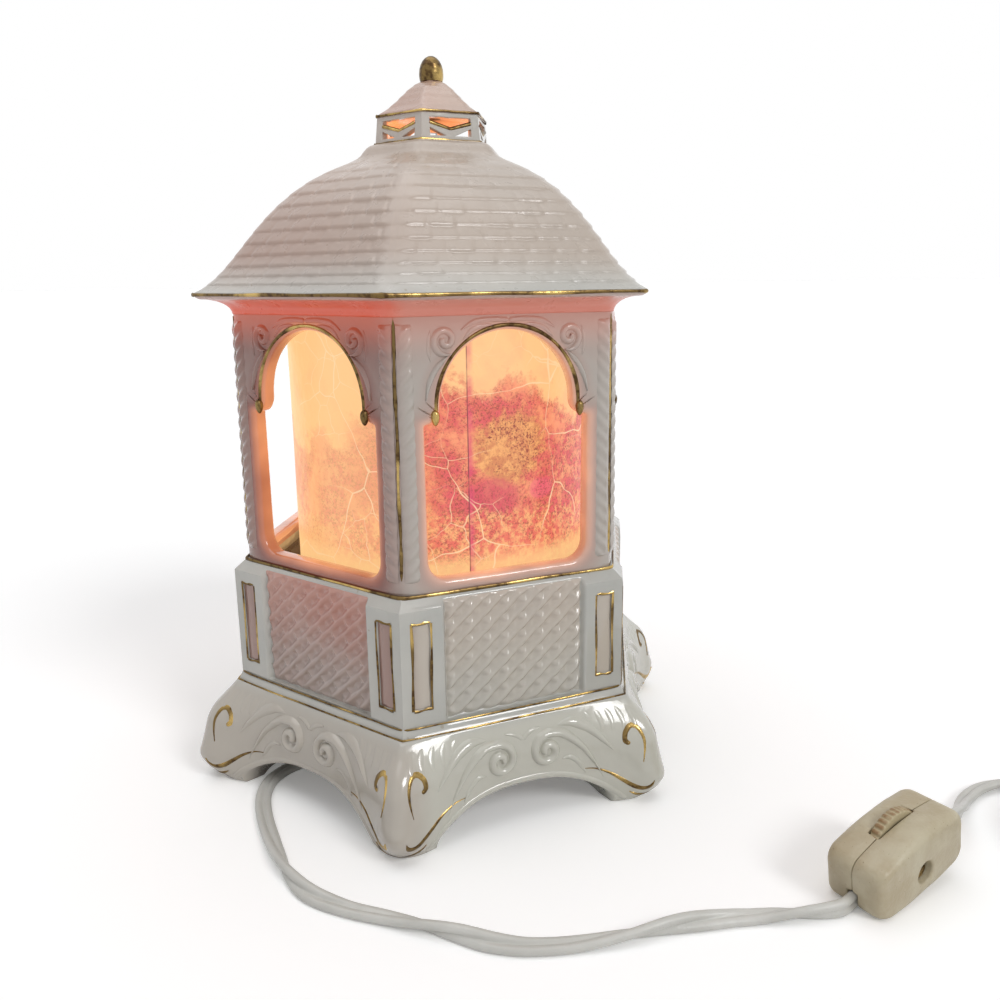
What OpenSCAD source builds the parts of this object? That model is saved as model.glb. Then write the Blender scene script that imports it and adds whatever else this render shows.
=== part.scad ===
// Rotating motion lamp: a six-sided porcelain pavilion with a lit, slowly turning picture drum inside,
// on a twin cord with a thumb-wheel switch. Millimetres, +Z up, origin on the table under the centre.
// The corners of every hexagon lie at 0, 60, 120 ... degrees, so the flat sides face 30, 90, 150 ...

/* [Base skirt] */
// Height of the skirt with its feet
skirt_h = 35.2; // [30:0.1:45]
// Corner radius of the skirt's upper rim
skirt_top_r = 79; // [77:0.1:84]
// Corner radius where a foot reaches out furthest
foot_r = 96.2; // [88:0.1:105]
// Half the width of a side's arch
arch_half_w = 34; // [25:0.5:36]
// Height of a side's arch
arch_h = 16; // [10:0.5:20]
// Distance from the axis to the middle of a skirt side
skirt_side_r = 72; // [70:0.1:76]
// Thickness of the skirt's wall between the feet
skirt_wall = 4.5; // [3:0.1:6]

/* [Pedestal] */
// Height of the pedestal's upright faces
pedestal_h = 40.8; // [30:0.1:60]
// Height of the bevel up to the belt
bevel_h = 3.2; // [2:0.1:5]
// Corner radius of the pedestal
pedestal_r = 77; // [75:0.1:79]
// Thickness of the pedestal's wall
pedestal_wall = 5.2; // [4:0.1:7]
// Thickness of the porcelain floor
floor_t = 4; // [3:0.1:6]
// Radius of the hole in the floor
floor_hole_r = 42; // [36:0.5:43]
// Half the width of a lattice panel
lattice_half_w = 24.8; // [18:0.1:26]
// Depth of the lattice panel's recess
lattice_depth = 2.2; // [1.5:0.1:3]
// Distance between the lattice bars
lattice_pitch = 4.9; // [5:0.1:12]
// Width of a lattice bar
lattice_bar = 2.1; // [1:0.1:3]
// Distance from a side's middle line to the middle of a corner inset
inset_u = 31.8; // [30:0.1:32.5]
// Width of a corner inset
inset_w = 6; // [4:0.1:7]
// Height of a corner inset
inset_h = 28; // [15:0.1:30]
// Depth of a corner inset
inset_depth = 0.9; // [0.5:0.1:1.5]

/* [Tower] */
// Height of the tower walls above the belt
wall_h = 83.3; // [75:0.1:110]
// Corner radius of the tower
wall_r = 72.3; // [71:0.1:74]
// Thickness of the tower walls
wall_t = 5.5; // [4:0.1:7]
// Half the width of a window
window_half_w = 27; // [22:0.1:29]
// Radius of a window's round head
window_arch_r = 22; // [16:0.1:24]
// Height of the sill above the belt
sill_h = 4.3; // [3:0.1:8]
// Distance from the tower's top down to the top of a window
window_drop = 4.5; // [3:0.1:8]
// Radius of a window's lower corners
window_corner_r = 5; // [2:0.1:8]

/* [Roof] */
// Corner radius of the eave
eave_r = 83; // [80:0.1:92]
// Thickness of the eave's edge
eave_t = 1.8; // [1:0.1:3]
// Height of the cove under the eave
soffit_h = 5.2; // [3:0.1:9]
// Height of the roof from the eave's upper edge to the curb
roof_h = 42.5; // [35:0.1:60]
// Corner radius of the roof's top
roof_top_r = 25.6; // [24:0.1:30]
// How far the crown's curve is drawn outwards, and how far it drops over that
crown_reach = 36.6; // [28:0.1:40]
crown_drop = 10.2; // [6:0.1:14]
// How far the flare's curve is drawn inwards from the eave, and how far it rises over that
flare_reach = 16; // [10:0.1:20]
flare_rise = 6.8; // [4:0.1:10]
// Number of shingle courses
courses = 13; // [8:1:16]
// How far each course stands out at its lower edge
course_step = 0.7; // [0.3:0.1:1.2]
// Thickness of the roof's shell
roof_wall = 4.6; // [3.5:0.1:6]

/* [Cupola] */
// Height of the curb under the cupola
curb_h = 4.7; // [3:0.1:8]
// Height of the cupola's walls
cupola_h = 8.5; // [7:0.1:14]
// Corner radius of the cupola's walls
cupola_r = 20; // [18:0.1:23]
// Thickness of the cupola's walls
cupola_wall = 2.6; // [2:0.1:3.5]
// Width of the gold chevron's bar
chevron_bar = 1.3; // [0.8:0.1:2]
// Height of the cupola's roof
cupola_roof_h = 12.2; // [9:0.1:18]
// Height of the finial
finial_h = 8.1; // [6:0.1:14]
// Largest radius of the finial
finial_r = 4.1; // [3:0.1:6]

/* [Bottom plate and fixings] */
// Radius of the steel plate under the floor
plate_r = 50; // [47:0.5:54]
// Thickness of the steel plate
plate_t = 1.2; // [0.8:0.1:2]
// Radius at which the three plate screws stand
screw_circle_r = 46; // [45:0.1:46.5]
// Radius of a plate screw's shank
screw_r = 1.95; // [1.5:0.05:2.4]
// Radius of the threaded lamp nipple
nipple_r = 4.8; // [4:0.1:6]
// Radius of the nipple's bore
nipple_bore_r = 3.2; // [2:0.1:3.6]
// Number of air holes in the plate
vents = 12; // [6:1:16]
// Radius of an air hole
vent_r = 4; // [2:0.1:5]
// Radius of the circle on which the air holes lie
vent_circle_r = 30; // [24:0.5:34]

/* [Socket and bulb] */
// Height of the socket's moulded body
socket_h = 36; // [30:0.5:44]
// Radius of the socket's body
socket_r = 10.5; // [9:0.1:14]
// Radius of the bulb's screw cap
cap_r = 6; // [5:0.1:7]
// Height of the bulb's screw cap
cap_h = 18; // [14:0.1:22]
// Largest radius of the bulb's glass
bulb_r = 15; // [11:0.1:17]
// Height of the bulb's glass
bulb_h = 70; // [55:0.5:72]
// Thickness of the bulb's glass
bulb_t = 0.8; // [0.5:0.1:1.2]

/* [Pivot] */
// Radius of the bail's wire
wire_r = 1.2; // [0.8:0.1:2]
// Width of the strap under the bail
strap_w = 10; // [6:0.1:14]
// Half the distance between the bail's legs
bail_half_w = 21; // [18:0.5:30]
// Radius of the needle that carries the drum
needle_r = 0.8; // [0.5:0.05:1.2]
// Length of the needle above its ferrule
needle_h = 9.5; // [8:0.1:14]
// Clearance between the needle and its cup, all round
needle_gap = 0.05; // [0.02:0.01:0.1]

/* [Drum] */
// Outer radius of the picture drum
drum_r = 53.1; // [48:0.1:54]
// Height of the picture drum
drum_h = 96; // [85:0.5:100]
// How far the drum hangs below the belt
drum_drop = 5.2; // [3:0.1:7]
// Thickness of the drum's film
film_t = 0.6; // [0.4:0.1:1]
// Height of the hoops at the drum's ends
hoop_h = 5; // [3:0.1:8]
// Thickness of the hoops
hoop_t = 1; // [0.6:0.1:2]
// Number of fan vanes
vanes = 12; // [8:1:16]
// Slope of a vane
vane_tilt = 32; // [20:1:45]
// Radius of the fan's hub
hub_r = 9; // [7:0.1:12]

/* [Switch] */
// Length of the switch
switch_l = 38.8; // [34:0.1:50]
// Thickness of the switch across its two shells
switch_t = 18; // [15:0.1:22]
// Height of the switch at its ends
switch_end_h = 14.6; // [13:0.1:18]
// Height of the switch at its middle
switch_mid_h = 21.4; // [20:0.1:26]
// Compass heading of the switch, from +X towards +Y
switch_heading = 10.6; // [0:0.1:20]
// Radius of the thumb wheel
wheel_r = 11.1; // [10.5:0.1:12]
// Thickness of the thumb wheel
wheel_t = 3; // [2:0.1:3.4]
// How far the wheel's centre lies above the switch's middle
wheel_up = 2.2; // [1.8:0.1:2.4]
// Number of ridges round the thumb wheel
ridges = 36; // [20:1:48]
// Clearance between the wheel and its post, all round
wheel_gap = 0.05; // [0.02:0.01:0.1]

/* [Cord and plug] */
// Width of the twin cord
cord_w = 5.4; // [5:0.1:6]
// Thickness of the twin cord
cord_t = 2.7; // [2.4:0.1:3]
// Number of turns in the coil
coil_turns = 7.0; // [5:0.1:9]
// Distance between neighbouring turns
coil_pitch = 3.5; // [3.3:0.1:4]
// Height between the coil's two layers
coil_rise = 6.2; // [6:0.1:7]
// Length of the plug's moulded body
plug_l = 24; // [20:0.5:34]
// Width of the plug's body
plug_w = 21; // [18:0.5:26]
// Thickness of the plug's body
plug_t = 13; // [11:0.5:16]

/* [Hidden] */

$fn = 64;
tiny = 0.01;
far = 400;                      // longer than anything here, for cuts that run right through
apothem = cos(30);              // a hexagon's flat side over its corner radius
sides = [30, 90, 150, 210, 270, 330];

porcelain = "#e9e4df";
gold = "#c99a2e";
steel = "#b9bcc0";
brass = "#c8a24a";
bakelite = "#2b2522";
beige = "#d3c7a6";
cream = "#e6dcae";
white_pvc = "#eceae4";

// Levels of the house, each from the one below
floor_z = skirt_h;
pedestal_top = floor_z + pedestal_h;
belt_z = pedestal_top + bevel_h;
wall_top = belt_z + wall_h;
eave_z = wall_top + soffit_h;
roof_foot = eave_z + eave_t;
roof_top = roof_foot + roof_h;
cupola_z = roof_top + curb_h;
cupola_top = cupola_z + cupola_h;
finial_z = cupola_top + cupola_roof_h - 0.6;

// ---- Shared shapes -------------------------------------------------------------------------------------

// A six-sided solid whose flat sides follow an outline of [distance from the axis, height] points.
// It is the crossing of three long bars, one for each pair of opposite sides.
module six_sided(outline) {
  slab = concat(outline, [for (i = [len(outline) - 1:-1:0]) [-outline[i][0], outline[i][1]]]);
  intersection_for (turn = [30, 90, 150]) rotate([0, 0, turn]) rotate([90, 0, 0])
    linear_extrude(far, center = true) polygon(slab);
}

// Something drawn for the side that faces +X, repeated on all six sides.
module on_each_side() {
  for (turn = sides) rotate([0, 0, turn]) children();
}

// A flat outline, drawn with [across, up] points, that stands at a distance from the axis on the side
// that faces +X and goes outwards by a depth.
module against_side(distance, depth) {
  translate([distance, 0, 0]) rotate([90, 0, 90]) linear_extrude(depth) children();
}

// A point on a curve with two handles.
function curve(p, t) = pow(1 - t, 3) * p[0] + 3 * pow(1 - t, 2) * t * p[1]
  + 3 * (1 - t) * t * t * p[2] + pow(t, 3) * p[3];

// The value at x on a line through [x, value] points that rise in x.
function between(list, x, i = 0) = x <= list[0][0] ? list[0][1]
  : i >= len(list) - 1 ? list[len(list) - 1][1]
  : x <= list[i + 1][0]
    ? list[i][1] + (list[i + 1][1] - list[i][1]) * (x - list[i][0]) / (list[i + 1][0] - list[i][0])
  : between(list, x, i + 1);

// A polygon's points with each corner rounded, as n short edges.
function unit(v) = v / norm(v);
function rounded(points, radius, n = 4) = [for (i = [0:len(points) - 1])
  let (p = points[i], a = unit(points[(i + len(points) - 1) % len(points)] - p),
    b = unit(points[(i + 1) % len(points)] - p), half = acos(a * b) / 2, back = radius / tan(half),
    middle = p + unit(a + b) * radius / sin(half), from = p + a * back - middle, to = p + b * back - middle)
  for (k = [0:n]) middle + unit(from * (1 - k / n) + to * k / n) * radius];

// A sheet of points, rows by columns, as triangles. Both ways may close on themselves.
function sheet_faces(rows, cols, row_wrap) = [for (i = [0:rows - (row_wrap ? 1 : 2)]) for (j = [0:cols - 1])
  let (a = i * cols + j, b = i * cols + (j + 1) % cols, c = ((i + 1) % rows) * cols + j,
    d = ((i + 1) % rows) * cols + (j + 1) % cols) each [[a, b, d], [a, d, c]]];

// ---- Porcelain house -----------------------------------------------------------------------------------

// How far the skirt's corner reaches out at each height, as shares of the skirt's height and of the
// foot's reach beyond the rim: a swelling shoulder, an almost upright shin and a rounded toe.
shoulder = [[0, 0.62], [0.11, 0.84], [0.23, 0.97], [0.29, 1], [0.40, 0.90], [0.54, 0.80], [0.65, 0.73],
  [0.77, 0.56], [0.89, 0.24], [1, 0]];
function skirt_corner_r(z) = skirt_top_r + (foot_r - skirt_top_r) * between(shoulder, z / skirt_h);
function skirt_mid_r(z) = skirt_side_r - (skirt_side_r - skirt_top_r * apothem)
  * pow(max(0, 2.2 * z / skirt_h - 1.2), 2);
// Lower edge of a side, u from its middle: a low arch between the feet.
function arch_z(u) = abs(u) >= arch_half_w ? 0 : arch_h * pow(1 - pow(u / arch_half_w, 2), 0.75);
skirt_levels = [for (p = [len(shoulder) - 1:-1:0]) 1 - shoulder[p][0]];   // shares of the way down
skirt_inside_r = skirt_side_r - skirt_wall;

// Each corner is rounded: where the rounding leaves the side, at each height, as a share of the way from
// the side's middle. It is a fat toe at the table and almost crisp at the rim.
rounding = [[0, 0.74], [0.35, 0.77], [0.7, 0.85], [1, 0.97]];
function face_point(s, corner, middle) = [middle + (corner * apothem - middle) * pow(abs(s), 2.5), s * corner / 2];
function along_corner(p) = p[0] * apothem + p[1] / 2;
function next_side(p) = [p[0] / 2 + p[1] * apothem, p[0] * apothem - p[1] / 2];

// A point on the outside at height z. s runs along the side up to 1 and from there to 2 round the corner,
// a curve from one side to the next whose crown reaches out as far as the corner does.
function skirt_skin(s, z) = let (leaves = between(rounding, z / skirt_h), middle = skirt_mid_r(z),
    reach = skirt_corner_r(z), corner = reach + 0.62 * (reach - along_corner(face_point(leaves, reach, middle))),
    p = face_point(min(abs(s), leaves), corner, middle), t = max(0, abs(s) - 1) / 2,
    q = (1 - t) * (1 - t) * p + 2 * t * (1 - t) * corner * [apothem, 0.5] + t * t * next_side(p))
  [q[0], q[1] * sign(s), z];
inside_shares = [[0, 0], [0.71, 0.71], [1, 0.80], [1.35, 0.88], [1.7, 0.94], [2, 0.985]];
function skirt_inside(s, z) = let (share = between(inside_shares, abs(s)), back = abs(s) == 2 ? 0.985 : 1)
  [skirt_inside_r * back, skirt_inside_r * tan(30) * share * sign(s), z];

// The closed cut through the skirt at s: down its face and up its inside.
function skirt_cut(s) = let (low = arch_z(s * foot_r / 2)) concat(
  [for (t = skirt_levels) skirt_skin(s, skirt_h - t * (skirt_h - low))],
  [for (z = [low, skirt_h]) skirt_inside(s, z)]);
function turned(p, a) = [p[0] * cos(a) - p[1] * sin(a), p[0] * sin(a) + p[1] * cos(a), p[2]];
skirt_stations = [-1.7, -1.35, -1, -0.71, -0.64, -0.52, -0.36, -0.18, 0,
  0.18, 0.36, 0.52, 0.64, 0.71, 1, 1.35, 1.7, 2];

module base_skirt() {
  points = [for (a = sides) for (s = skirt_stations) for (p = skirt_cut(s)) turned(p, a)];
  color(porcelain) polyhedron(points,
    sheet_faces(len(sides) * len(skirt_stations), len(shoulder) + 2, true), convexity = 10);
}

// The pedestal: upright faces with sunk lattice panels and corner insets, and the lamp's floor.
pedestal_a = pedestal_r * apothem;
rim_a = skirt_top_r * apothem - 0.4;
fillet_h = 2.3;
shelf_a = wall_r * apothem - wall_t;          // inside of the tower, which stands on the pedestal
lattice_z = floor_z + fillet_h + 0.9;
inset_z = floor_z + 8.5;

pedestal_outline = [[rim_a, floor_z], [pedestal_a + 0.3, floor_z + fillet_h],
  [pedestal_a, floor_z + fillet_h + 0.6], [pedestal_a, pedestal_top], [wall_r * apothem + 0.5, belt_z]];

module pedestal() {
  color(porcelain) difference() {
    six_sided(pedestal_outline);
    six_sided([[pedestal_a - pedestal_wall, floor_z + floor_t], [pedestal_a - pedestal_wall, pedestal_top - 6],
      [shelf_a, pedestal_top], [shelf_a, belt_z + tiny]]);
    translate([0, 0, floor_z - 1]) cylinder(r = floor_hole_r, h = floor_t + 2, $fn = 96);
    for (a = plate_screw_angles) rotate([0, 0, a]) translate([screw_circle_r, 0, floor_z - 1])
      cylinder(r = screw_r + 0.55, h = floor_t + 2, $fn = 32);
    on_each_side() {
      against_side(pedestal_a - lattice_depth, 10)
        translate([-lattice_half_w, lattice_z]) square([2 * lattice_half_w, belt_z]);
      for (m = [-1, 1]) against_side(pedestal_a - inset_depth, 10)
        translate([m * inset_u - inset_w / 2, inset_z]) square([inset_w, inset_h]);
    }
  }
}

// Diagonal lattice that fills the sunk panel of each side and is cut off by the bevel below the belt.
lattice_top = pedestal_top + bevel_h * 0.55;
module lattice_panels() {
  thick = lattice_depth - 0.7;
  reach = lattice_half_w + (lattice_top - lattice_z) / 2 + lattice_pitch;
  n = ceil(reach / lattice_pitch);
  color(porcelain) intersection() {
    six_sided(pedestal_outline);
    on_each_side() against_side(pedestal_a - lattice_depth, thick)
      translate([0, (lattice_z + lattice_top) / 2]) intersection() {
        square([2 * lattice_half_w, lattice_top - lattice_z], center = true);
        for (lean = [-50, 50]) rotate([0, 0, lean]) for (i = [-n:n])
          translate([i * lattice_pitch, 0]) square([lattice_bar, far / 2], center = true);
      }
  }
}

// A window: straight jambs, a lobed shoulder on each side and a round head.
window_sill = belt_z + sill_h;
window_head = wall_top - window_drop;
window_spring = window_head - window_arch_r;
lobe_r = window_half_w - window_arch_r;

module window_shape() {
  translate([0, window_spring]) circle(r = window_arch_r, $fn = 96);
  difference() {
    union() {
      translate([-window_half_w, window_sill + window_corner_r])
        square([2 * window_half_w, window_spring - window_sill - window_corner_r]);
      translate([-window_half_w + window_corner_r, window_sill])
        square([2 * (window_half_w - window_corner_r), window_corner_r + 1]);
      for (m = [-1, 1]) translate([m * (window_half_w - window_corner_r), window_sill + window_corner_r])
        circle(r = window_corner_r, $fn = 48);
    }
    for (m = [-1, 1]) translate([m * window_half_w, window_spring]) circle(r = lobe_r, $fn = 48);
  }
}

module tower_walls() {
  wall_a = wall_r * apothem;
  color(porcelain) difference() {
    six_sided([[wall_a + 0.5, belt_z], [wall_a + 0.3, belt_z + 2], [wall_a - 0.4, wall_top]]);
    six_sided([[shelf_a, belt_z - 1], [shelf_a, wall_top + 1]]);
    on_each_side() against_side(shelf_a - 5, wall_t + 10) window_shape();
  }
}

// The roof: a belled outline stepped into shingle courses, with a coved soffit and a thin eave.
roof_curve = [[roof_top_r, roof_top], [roof_top_r + crown_reach, roof_top - crown_drop],
  [eave_r - flare_reach, roof_foot + flare_rise], [eave_r, roof_foot]];
function roof_at(t) = let (p = curve(roof_curve, t)) [p[0] * apothem, p[1]];
cove = [for (i = [0:6]) let (a = 90 * i / 6) [
  (wall_r - 0.4 + (eave_r - wall_r - 1.2) * (1 - cos(a))) * apothem,
  wall_top + (soffit_h - 0.5) * sin(a)]];
course_points = [for (i = [courses - 1:-1:0]) let (low = roof_at((i + 1) / courses), high = roof_at(i / courses))
  each [low + [course_step * (i == courses - 1 ? 0 : 1), 0], [high[0], high[1]]]];
roof_inside = [for (i = [0:10]) let (p = roof_at(0.92 - 0.9 * i / 10)) [p[0] - roof_wall, p[1] - roof_wall * 0.62]];
roof_hole_a = cupola_r * apothem - cupola_wall - 0.4;

module roof() {
  color(porcelain) difference() {
    six_sided(concat(cove, [[eave_r * apothem, eave_z]], course_points,
      [[roof_top_r * apothem + 0.5, roof_top - 0.6], [roof_top_r * apothem, roof_top],
       [cupola_r * apothem + 2.6, roof_top + 1.2], [cupola_r * apothem + 0.35, cupola_z]]));
    six_sided(concat([[shelf_a, wall_top - 1], [shelf_a, wall_top + 2]],
      [for (p = roof_inside) [max(p[0], roof_hole_a), p[1]]],
      [[roof_hole_a, roof_top - 3], [roof_hole_a, cupola_z + 1]]));
  }
}

// The cupola: six low walls, each pierced above and below a gold chevron.
cupola_a = cupola_r * apothem;
module cupola_walls() {
  half = cupola_r / 2 - 2.9;
  low = cupola_z + 1.3;
  high = cupola_top - 1.5;
  dip = low + 0.9;
  color(porcelain) difference() {
    six_sided([[cupola_a + 0.3, cupola_z], [cupola_a - 0.5, cupola_top]]);
    six_sided([[cupola_a - cupola_wall, cupola_z - 1], [cupola_a - cupola_wall, cupola_top + 1]]);
    on_each_side() against_side(cupola_a - cupola_wall - 3, cupola_wall + 6) {
      polygon([[-half, high], [half, high], [half, high - 1.6], [0, dip + chevron_bar], [-half, high - 1.6]]);
      for (m = [-1, 1]) polygon([[m * half, low], [m * half, high - 1.6 - chevron_bar * 1.3],
        [m * 1.6, low]]);
    }
  }
}

cupola_curve = [[(cupola_r - 0.3), cupola_top + 0.9], [cupola_r * 0.62, cupola_top + cupola_roof_h * 0.42],
  [cupola_r * 0.5, cupola_top + cupola_roof_h * 0.78], [finial_r - 0.4, cupola_top + cupola_roof_h]];
module cupola_roof() {
  color(porcelain) difference() {
    six_sided(concat([[cupola_a - 0.5, cupola_top], [cupola_a - 0.1, cupola_top + 0.3]],
      [for (i = [0:8]) let (p = curve(cupola_curve, i / 8)) [p[0] * apothem, p[1]]]));
    six_sided(concat([[cupola_a - cupola_wall, cupola_top - 1]],
      [for (i = [0:4]) let (p = curve(cupola_curve, i / 5)) [p[0] * apothem - cupola_wall, p[1] - 1]]));
    translate([0, 0, finial_z]) cylinder(r = 2, h = far, $fn = 32);
  }
}

// A gilt egg that sits on its broad end, on a short peg in the cupola's roof.
module finial() {
  foot = finial_z + 0.6;
  belly = 0.3;                   // share of the height at which the egg is widest
  color(gold) {
    rotate_extrude($fn = 48) polygon(concat([[0, foot], [finial_r * 0.92, foot],
      [finial_r * 0.97, foot + finial_h * 0.1], [finial_r * 0.995, foot + finial_h * 0.2]],
      [for (a = [0:15:90]) [finial_r * cos(a), foot + finial_h * (belly + (1 - belly) * sin(a))]]));
    translate([0, 0, finial_z]) cylinder(r = 2, h = 1.2, $fn = 32);
  }
}

// ---- Bottom plate, socket and bulb ---------------------------------------------------------------------

plate_screw_angles = [90, 210, 330];
plate_z = floor_z - plate_t;                    // the plate lies against the floor from below
nut_h = 3;
bushing_at = [-14, -1.7];
bushing_r = 4.1;

module bottom_plate() {
  color(steel) difference() {
    translate([0, 0, plate_z]) cylinder(r = plate_r, h = plate_t, $fn = 96);
    translate([0, 0, plate_z - 1]) cylinder(r = nipple_r + 0.1, h = plate_t + 2);
    translate([bushing_at[0], bushing_at[1], plate_z - 1]) cylinder(r = bushing_r + 0.1, h = plate_t + 2);
    for (a = plate_screw_angles) rotate([0, 0, a]) translate([screw_circle_r, 0, plate_z - 1])
      cylinder(r = screw_r + 0.25, h = plate_t + 2, $fn = 32);
    for (i = [0:vents - 1]) rotate([0, 0, 360 * (i + 0.5) / vents]) translate([vent_circle_r, 0, plate_z - 1])
      cylinder(r = vent_r, h = plate_t + 2, $fn = 32);
  }
}

// Three pan-head screws that hold the plate, heads down.
module plate_screws() {
  color(steel) for (a = plate_screw_angles) rotate([0, 0, a]) translate([screw_circle_r, 0, 0]) {
    translate([0, 0, plate_z - 2.2]) cylinder(r = 3.6, h = 2.2, $fn = 32);
    translate([0, 0, plate_z - tiny]) cylinder(r = screw_r, h = plate_t + floor_t + nut_h + 1.5, $fn = 32);
  }
}

module plate_nuts() {
  color(steel) for (a = plate_screw_angles) rotate([0, 0, a])
    translate([screw_circle_r, 0, floor_z + floor_t]) difference() {
      cylinder(r = 3.9, h = nut_h, $fn = 6);
      translate([0, 0, -1]) cylinder(r = screw_r + 0.02, h = nut_h + 2, $fn = 32);
    }
}

bail_z = floor_z + nut_h;                       // the bail's strap lies on the upper nut
strap_t = 1.2;
socket_z = bail_z + strap_t;
nipple_top = socket_z + 5;

module lamp_nipple() {
  color(brass) translate([0, 0, plate_z - nut_h - 2]) difference() {
    cylinder(r = nipple_r, h = nipple_top - plate_z + nut_h + 2);
    translate([0, 0, -1]) cylinder(r = nipple_bore_r, h = far);
  }
}

module nipple_nuts() {
  color(brass) for (z = [plate_z - nut_h, floor_z]) translate([0, 0, z]) difference() {
    cylinder(r = 8, h = nut_h, $fn = 6);
    translate([0, 0, -1]) cylinder(r = nipple_r + 0.02, h = nut_h + 2);
  }
}

// Moulded bushing that snaps into the plate, with a tapered relief that leads the cord down and out.
bushing_turn = 187.2;
bushing_slope = 34;
relief_l = 24;
relief_start = [bushing_at[0], bushing_at[1], plate_z - 6.5];
out_x = cos(bushing_slope) * cos(bushing_turn);
out_y = cos(bushing_slope) * sin(bushing_turn);
out_z = -sin(bushing_slope);
cord_exit = relief_start + relief_l * [out_x, out_y, out_z];

module cord_bushing() {
  color(bakelite) {
    translate([bushing_at[0], bushing_at[1], plate_z]) cylinder(r = bushing_r, h = plate_t + 2);
    translate([bushing_at[0], bushing_at[1], floor_z]) cylinder(r = bushing_r + 0.7, h = 1.2);
    translate([bushing_at[0], bushing_at[1], plate_z - 2]) cylinder(r = 5.8, h = 2);
    translate([bushing_at[0], bushing_at[1], plate_z - 6.5]) cylinder(r = 4.9, h = 5);
    translate(relief_start) sphere(r = 5.3);
    translate(relief_start) rotate([0, 90 + bushing_slope, bushing_turn])
      cylinder(r1 = 4.8, r2 = 3.3, h = relief_l);
  }
}

// Two insulated wires from the bushing to the socket's side.
lead_path = [[bushing_at[0], bushing_at[1], floor_z + 2], [bushing_at[0], bushing_at[1], floor_z + 4.2],
  [-14.6, -1.4, 43.5], [-15.4, -1, 46.5],
  [-14.6, -0.6, 49], [-12.6, -0.4, 50], [0.5 - socket_r, -0.4, 50]];
module inner_leads() {
  color(white_pvc) for (m = [-1, 1]) translate([0, m * 1.35, 0])
    swept(smooth([for (p = lead_path) [p[0], p[1], p[2], 0]], 3), 2.2, 2.2, 8);
}

// Moulded lampholder with a stepped bore for the screw shell.
shell_r = cap_r + 0.6;
shell_z = socket_z + socket_h - 20;
module socket_body() {
  color(bakelite) difference() {
    rotate_extrude() polygon([[0, socket_z], [socket_r - 2, socket_z], [socket_r, socket_z + 3],
      [socket_r, socket_z + socket_h - 1], [socket_r - 1, socket_z + socket_h], [0, socket_z + socket_h]]);
    translate([0, 0, socket_z - 1]) cylinder(r = nipple_r + 0.02, h = nipple_top - socket_z + 1);
    translate([0, 0, nipple_top - tiny]) cylinder(r = 3, h = far);
    translate([0, 0, shell_z]) cylinder(r = shell_r, h = far);
  }
}

module screw_shell() {
  color(brass) translate([0, 0, shell_z]) difference() {
    cylinder(r = shell_r, h = 19);
    translate([0, 0, 0.6]) cylinder(r = cap_r + 0.1, h = 20);
    translate([0, 0, -1]) cylinder(r = 4, h = 3);
  }
}

cap_z = socket_z + socket_h + 0.5 - cap_h;
module centre_contact() {
  color(brass) {
    translate([-2, -7.5, shell_z - 4]) intersection() {
      cube([4, 15, 0.8]);
      translate([2, 7.5, 0]) cylinder(r = 3, h = 4);
    }
    translate([0, 0, shell_z - 3.3]) cylinder(r = 1.6, h = cap_z - 2.2 - shell_z + 3.3);
  }
}

module bulb_cap() {
  color(brass) rotate_extrude() polygon([[0, cap_z - 2.2], [2.2, cap_z - 2.2], [3, cap_z - 0.8], [5, cap_z],
    [cap_r, cap_z + 1], [cap_r, cap_z + cap_h], [0, cap_z + cap_h]]);
}

glass_z = cap_z + cap_h;
glass_curve = [[[cap_r - 0.4, 0], [cap_r - 0.2, bulb_h * 0.16], [bulb_r, bulb_h * 0.16], [bulb_r, bulb_h * 0.38]],
  [[bulb_r, bulb_h * 0.38], [bulb_r, bulb_h * 0.66], [2.2, bulb_h * 0.84], [0, bulb_h]]];
function glass_outline(inset) = [for (piece = glass_curve) for (i = [piece == glass_curve[0] ? 0 : 1:10])
  let (p = curve(piece, i / 10)) [max(0, p[0] - inset), glass_z + p[1] * (1 - inset / bulb_h)]];
module bulb_glass() {
  color("#fff2d8", 0.5) rotate_extrude() polygon(concat(glass_outline(0),
    [for (i = [20:-1:0]) glass_outline(bulb_t)[i]]));
}

// Glass stem, two wires and the filament between them.
module filament_mount() {
  stem_h = bulb_h * 0.26;
  color("#d9d9d9") translate([0, 0, glass_z]) {
    cylinder(r1 = 3.4, r2 = 1.6, h = stem_h);
    for (m = [-1, 1]) translate([m * 1.1, 0, stem_h - 1]) rotate([0, m * 16, 0])
      cylinder(r = 0.3, h = bulb_h * 0.2, $fn = 16);
    translate([0, 0, stem_h - 1 + bulb_h * 0.2 * cos(16)]) rotate([90, 0, 0])
      rotate_extrude(angle = 180, $fn = 32) translate([1.1 + bulb_h * 0.2 * sin(16), 0])
        circle(r = 0.4, $fn = 16);
  }
}

// ---- Pivot and drum ------------------------------------------------------------------------------------

drum_z = belt_z - drum_drop;
drum_top = drum_z + drum_h;
hub_z = drum_top - 2;
needle_tip = hub_z + 0.4;
ferrule_h = 6;
ferrule_top = needle_tip - needle_h;
bail_crown = ferrule_top - ferrule_h + wire_r;
bail_spring = bail_crown - bail_half_w;

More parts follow.
